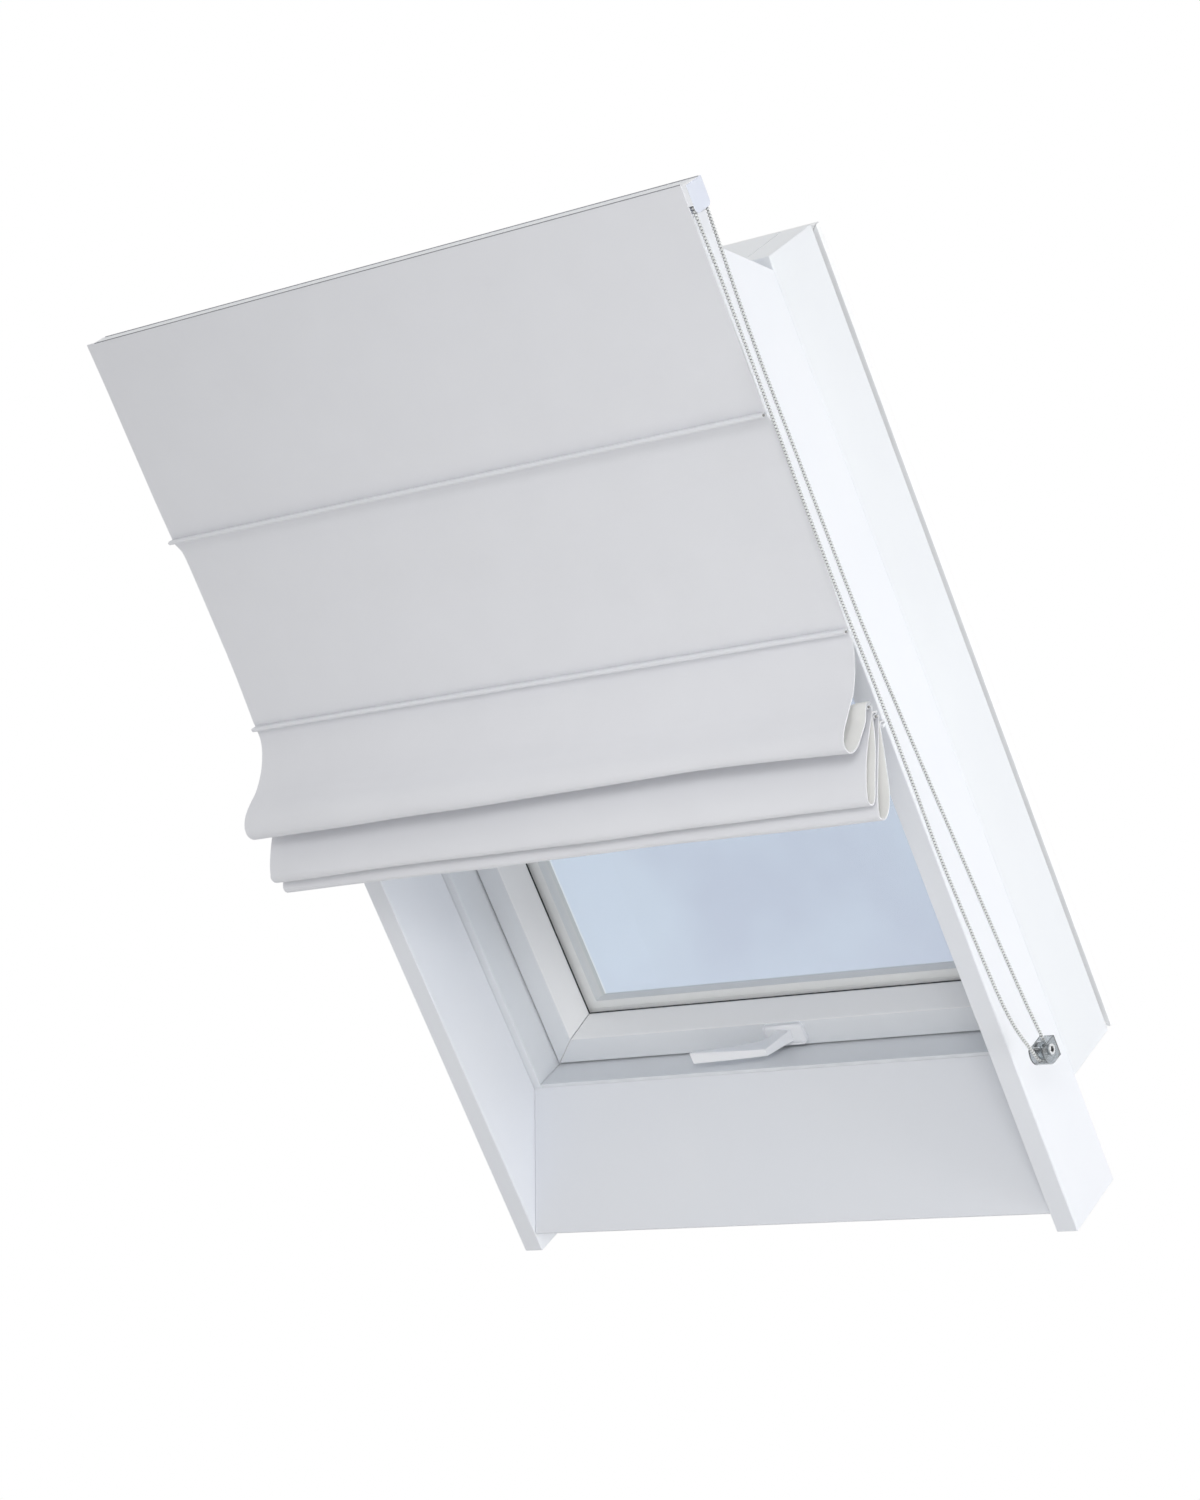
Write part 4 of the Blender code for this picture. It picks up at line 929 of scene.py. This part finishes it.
def makeHeadrail():
    top, bottom = rail["top"], rail["top"] + rail["height"]
    back, front, wall = rail["back"], rail["back"] + rail["depth"], rail["wall"]
    outline = [(top, back)]
    for start in (back + rail["grooveFromEdge"], front - rail["grooveFromEdge"] - rail["groove"]):
        outline += [(top, start), (top + rail["grooveDepth"], start),
                    (top + rail["grooveDepth"], start + rail["groove"]),
                    (top, start + rail["groove"])]
    outline += [(top, front), (bottom, front), (bottom, front - rail["lip"]),
                (bottom - wall, front - rail["lip"]), (bottom - wall, front - wall),
                (top + wall, front - wall), (top + wall, back + wall), (bottom - wall, back + wall),
                (bottom - wall, back + rail["lip"]), (bottom, back + rail["lip"]), (bottom, back)]
    bpy.ops.object.select_all(action="DESELECT")
    bpy.ops.mesh.primitive_circle_add(vertices=len(outline), fill_type="NGON")
    piece = bpy.context.object
    piece.name = "headrailChannel"
    for vert, (down, away) in zip(piece.data.vertices, outline):
        vert.co = (rail["left"], -down, away)
    bpy.ops.object.mode_set(mode="EDIT")
    bpy.ops.mesh.select_all(action="SELECT")
    bpy.ops.mesh.extrude_region_move(
        TRANSFORM_OT_translate={"value": (rail["right"] - rail["left"], 0, 0)})
    bpy.ops.mesh.select_all(action="SELECT")
    bpy.ops.mesh.normals_make_consistent(inside=False)
    bpy.ops.object.mode_set(mode="OBJECT")
    modify(piece, "BEVEL", width=rail["edge"], segments=2, limit_method="ANGLE",
           angle_limit=math.radians(40))
    smooth(piece, 40)
    dress(piece, railCoat)
    tiltToRoof(piece)
    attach(piece, "surround")
    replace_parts(piece, "headrail")


def makeBar(name, x, down, front, edge, material, body):
    # a straight bar between two values each way, its edges eased
    bpy.ops.object.select_all(action="DESELECT")
    bpy.ops.mesh.primitive_cube_add(size=1)
    piece = bpy.context.object
    piece.name = name
    for vert in piece.data.vertices:
        vert.co = (x[0] + (vert.co.x + 0.5) * (x[1] - x[0]),
                   -down[0] - (0.5 - vert.co.y) * (down[1] - down[0]),
                   front[0] + (vert.co.z + 0.5) * (front[1] - front[0]))
    modify(piece, "BEVEL", width=edge, segments=2, limit_method="ANGLE")
    smooth(piece)
    dress(piece, material)
    tiltToRoof(piece)
    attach(piece, body)
    return piece


makeHeadrail()
# the grey lip along the rail's back top edge is a painted shade line
makeBar("railLip", (rail["left"], rail["lipEnd"]),
        (rail["top"] - rail["lipRise"], rail["top"] + rail["lipSunk"]),
        (rail["back"] + rail["lipFrom"], rail["back"] + rail["lipTo"]),
        rail["lipEdge"], softLip, "surround")

# Guide that closes the housing behind the chain's front strand
guide = {"x": (0.4143, 0.4210), "down": (0.0212, 0.0302), "front": (0.0298, 0.0310), "edge": 0.0002}
makeBar("chainGuide", guide["x"], guide["down"], guide["front"], guide["edge"], absPlastic,
        "surround")

# Glazing rings: the thin seal that stands on the pane, and the sealant round the spacer
rings = {
    # half width, down from and to, rear face, height towards the room, width
    "glazingSeal": (0.3017, (0.2083, 1.0117), -0.1837, 0.0013, 0.0011),
    "edgeSealant": (0.3125, (0.1975, 1.0225), -0.2035, 0.0150, 0.0142),
}
ringEdge = 0.0003


def makeRing(name, material):
    halfWidth, downs, back, rise, width = rings[name]
    bpy.ops.object.select_all(action="DESELECT")
    bpy.ops.mesh.primitive_plane_add(size=1)
    piece = bpy.context.object
    piece.name = name
    for vert in piece.data.vertices:
        vert.co = (vert.co.x * 2 * halfWidth,
                   vert.co.y * (downs[1] - downs[0]) - sum(downs) / 2, back)
    bpy.ops.object.mode_set(mode="EDIT")
    bpy.ops.mesh.select_all(action="SELECT")
    bpy.ops.mesh.inset(thickness=width)
    bpy.ops.mesh.delete(type="FACE")
    bpy.ops.mesh.select_all(action="SELECT")
    bpy.ops.mesh.extrude_region_move(TRANSFORM_OT_translate={"value": (0, 0, rise)})
    bpy.ops.mesh.select_all(action="SELECT")
    bpy.ops.mesh.normals_make_consistent(inside=False)
    bpy.ops.object.mode_set(mode="OBJECT")
    modify(piece, "BEVEL", width=ringEdge, segments=2, limit_method="ANGLE",
           angle_limit=math.radians(40))
    smooth(piece, 40)
    dress(piece, material)
    tiltToRoof(piece)
    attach(piece, "sash")
    return piece


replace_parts(makeRing("glazingSeal", rubber), "glazing_gasket")
makeRing("edgeSealant", sealant)

# Window handle: rosette with round corners and a cranked lever
handle = {
    "down": 1.043, "sashFront": -0.150, "gap": 0.0003,
    "rosetteWidth": 0.056, "rosetteHeight": 0.028, "rosetteThick": 0.005,
    "cornerRadius": 0.006, "rosetteEdge": 0.0012, "leverEdge": 0.0011,
    "stand": 0.045, "length": 0.113, "thin": 0.005, "spindleEnd": 0.0115,
    "halfTip": 0.0075, "halfElbow": 0.0047,
}


def makeRosette():
    bpy.ops.object.select_all(action="DESELECT")
    bpy.ops.mesh.primitive_cube_add(size=1)
    piece = bpy.context.object
    piece.name = "handleRosette"
    for vert in piece.data.vertices:
        vert.co = (vert.co.x * handle["rosetteWidth"],
                   vert.co.y * handle["rosetteHeight"] - handle["down"],
                   (vert.co.z + 0.5) * handle["rosetteThick"] + handle["sashFront"] + handle["gap"])
    bpy.ops.object.mode_set(mode="EDIT")
    bpy.ops.mesh.select_all(action="DESELECT")
    bpy.ops.object.mode_set(mode="OBJECT")
    for edge in piece.data.edges:
        a, b = (piece.data.vertices[i].co for i in edge.vertices)
        edge.select = abs(a.z - b.z) > handle["rosetteThick"] / 2
    bpy.ops.object.mode_set(mode="EDIT")
    bpy.ops.mesh.bevel(offset=handle["cornerRadius"], segments=6, affect="EDGES")
    bpy.ops.object.mode_set(mode="OBJECT")
    modify(piece, "BEVEL", width=handle["rosetteEdge"], segments=3, limit_method="ANGLE",
           angle_limit=math.radians(50))
    smooth(piece, 50)
    dress(piece, absPlastic)
    tiltToRoof(piece)
    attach(piece, "sash")
    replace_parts(piece, "handle_rosette")


def makeLever():
    stand, tip, end = handle["stand"], handle["length"], handle["spindleEnd"]
    half, slim = handle["halfTip"], handle["halfElbow"]
    foot = handle["gap"] * 2 + handle["rosetteThick"]
    # from the tip to the rosette: rear point, front point and half height
    sections = (((-tip, stand - handle["thin"]), (-tip, stand), half),
                ((-0.76 * tip, stand - 0.0065), (-0.78 * tip, stand), 0.93 * half),
                ((-0.48 * tip, stand - 0.0115), (-0.51 * tip, stand), 0.83 * half),
                ((-0.23 * tip, stand - 0.0200), (-0.25 * tip, stand), 0.70 * half),
                ((-1.2 * end, stand - 0.0300), (-0.35 * end, stand - 0.001), slim),
                ((-1.02 * end, foot + 0.006), (0.35 * end, foot + 0.019), 0.80 * half),
                ((-end, foot), (end, foot), half))
    bpy.ops.object.select_all(action="DESELECT")
    bpy.ops.mesh.primitive_plane_add(size=0.01)
    piece = bpy.context.object
    piece.name = "handleLever"
    for number, (rear, front, rise) in enumerate(sections):
        if number:
            bpy.ops.object.mode_set(mode="EDIT")
            bpy.ops.mesh.extrude_region_move()
            bpy.ops.object.mode_set(mode="OBJECT")
        corners = ((rear, rise), (front, rise), (front, -rise), (rear, -rise))
        face = next(f for f in piece.data.polygons if f.select)
        for vertIndex, ((x, away), y) in zip(face.vertices, corners):
            piece.data.vertices[vertIndex].co = (x, y - handle["down"], handle["sashFront"] + away)
    bpy.ops.object.mode_set(mode="EDIT")
    bpy.ops.mesh.select_all(action="SELECT")
    bpy.ops.mesh.normals_make_consistent(inside=False)
    bpy.ops.object.mode_set(mode="OBJECT")
    modify(piece, "BEVEL", width=handle["leverEdge"], segments=3, limit_method="ANGLE",
           angle_limit=math.radians(35))
    smooth(piece, 45)
    dress(piece, absPlastic)
    tiltToRoof(piece)
    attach(piece, "handle")
    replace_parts(piece, "handle_lever")


makeRosette()
makeLever()
print("headrail and handle made")

# Nodes that stay as they are, with their finish
keptNodes = {
    paint: ("mounting_batten",),
    absPlastic: ("touch_strip", "shaft_bearing_left", "shaft_bearing_right",
                 "cord_spool_1", "cord_spool_2", "cord_spool_3", "chain_sprocket"),
    railCoat: ("hem_bar",),
    zinc: ("lift_shaft",),
    spacerBar: ("glass_spacer",),
    clearGlass: ("glass_inner",),
    coatedGlass: ("glass_outer",),
    fibre: ("rod_1", "rod_2", "rod_3", "rod_4"),
}
for material, names in keptNodes.items():
    for node in names:
        dress(nodes[node], material)


# Stage: pale floor well below, white surroundings and soft studio light
stage = {
    "floorHeight": -2.0,
    "floorSize": 9.0,
    "worldStrength": 0.66,
    # name, place, aim, size in metres, power in watts, spread in degrees
    "softboxes": (
        ("lowerRight", (1.5, -0.2, -1.5), (0, 0.2, -0.5), 1.2, 2, 180),
        ("rightSide", onRoof(5.0, 0.95, 0.75), onRoof(0, 0.85, -0.05), 1.6, 70, 180),
        ("front", (2.0, -2.8, -0.1), onRoof(0.30, 0.55, 0.08), 1.4, 1.25, 26),
    ),
}


def makeFloor():
    bpy.ops.object.select_all(action="DESELECT")
    bpy.ops.mesh.primitive_plane_add(size=stage["floorSize"], location=(0, 0, stage["floorHeight"]))
    floor = bpy.context.object
    floor.name = "studioFloor"
    floor.data.transform(floor.matrix_world)
    floor.matrix_world = Matrix.Identity(4)
    material, tree, shader, place = startMaterial("paleStudioFloor", "ECECEC", 0.8)
    mottle(tree, shader, place, "EAEAEA", "EFEFEF", 0.9)
    dress(floor, material)


def makeWorld():
    world = bpy.data.worlds.new("softWhite")
    scene.world = world
    world.use_nodes = True
    tree = world.node_tree
    background = tree.nodes["Background"]
    rays = addNode(tree, "ShaderNodeLightPath")
    seen = addNode(tree, "ShaderNodeMath", {0: rays.outputs["Is Camera Ray"],
                                            1: rays.outputs["Is Glossy Ray"]}, operation="MAXIMUM")
    through = addNode(tree, "ShaderNodeMath", {0: seen.outputs[0],
                                               1: rays.outputs["Is Transmission Ray"]},
                      operation="MAXIMUM")
    strength = addNode(tree, "ShaderNodeMath", {0: through.outputs[0],
                                                1: 1 - stage["worldStrength"],
                                                2: stage["worldStrength"]},
                       operation="MULTIPLY_ADD")
    background.inputs["Color"].default_value = (1, 1, 1, 1)
    tree.links.new(strength.outputs[0], background.inputs["Strength"])


def addSoftbox(name, location, target, size, power, spread):
    aim = (Vector(target) - Vector(location)).to_track_quat("-Z", "Y").to_euler()
    bpy.ops.object.light_add(type="AREA", location=location, rotation=aim)
    lamp = bpy.context.object
    lamp.name = name
    lamp.data.shape = "DISK"
    lamp.data.size = size
    lamp.data.energy = power
    lamp.data.spread = math.radians(spread)      # less than 180 is a honeycomb before the box
    lamp.visible_camera = False
    lamp.visible_glossy = False


makeFloor()
makeWorld()
for softbox in stage["softboxes"]:
    addSoftbox(*softbox)
scene.view_settings.view_transform = "Standard"
print("stage and lights made")
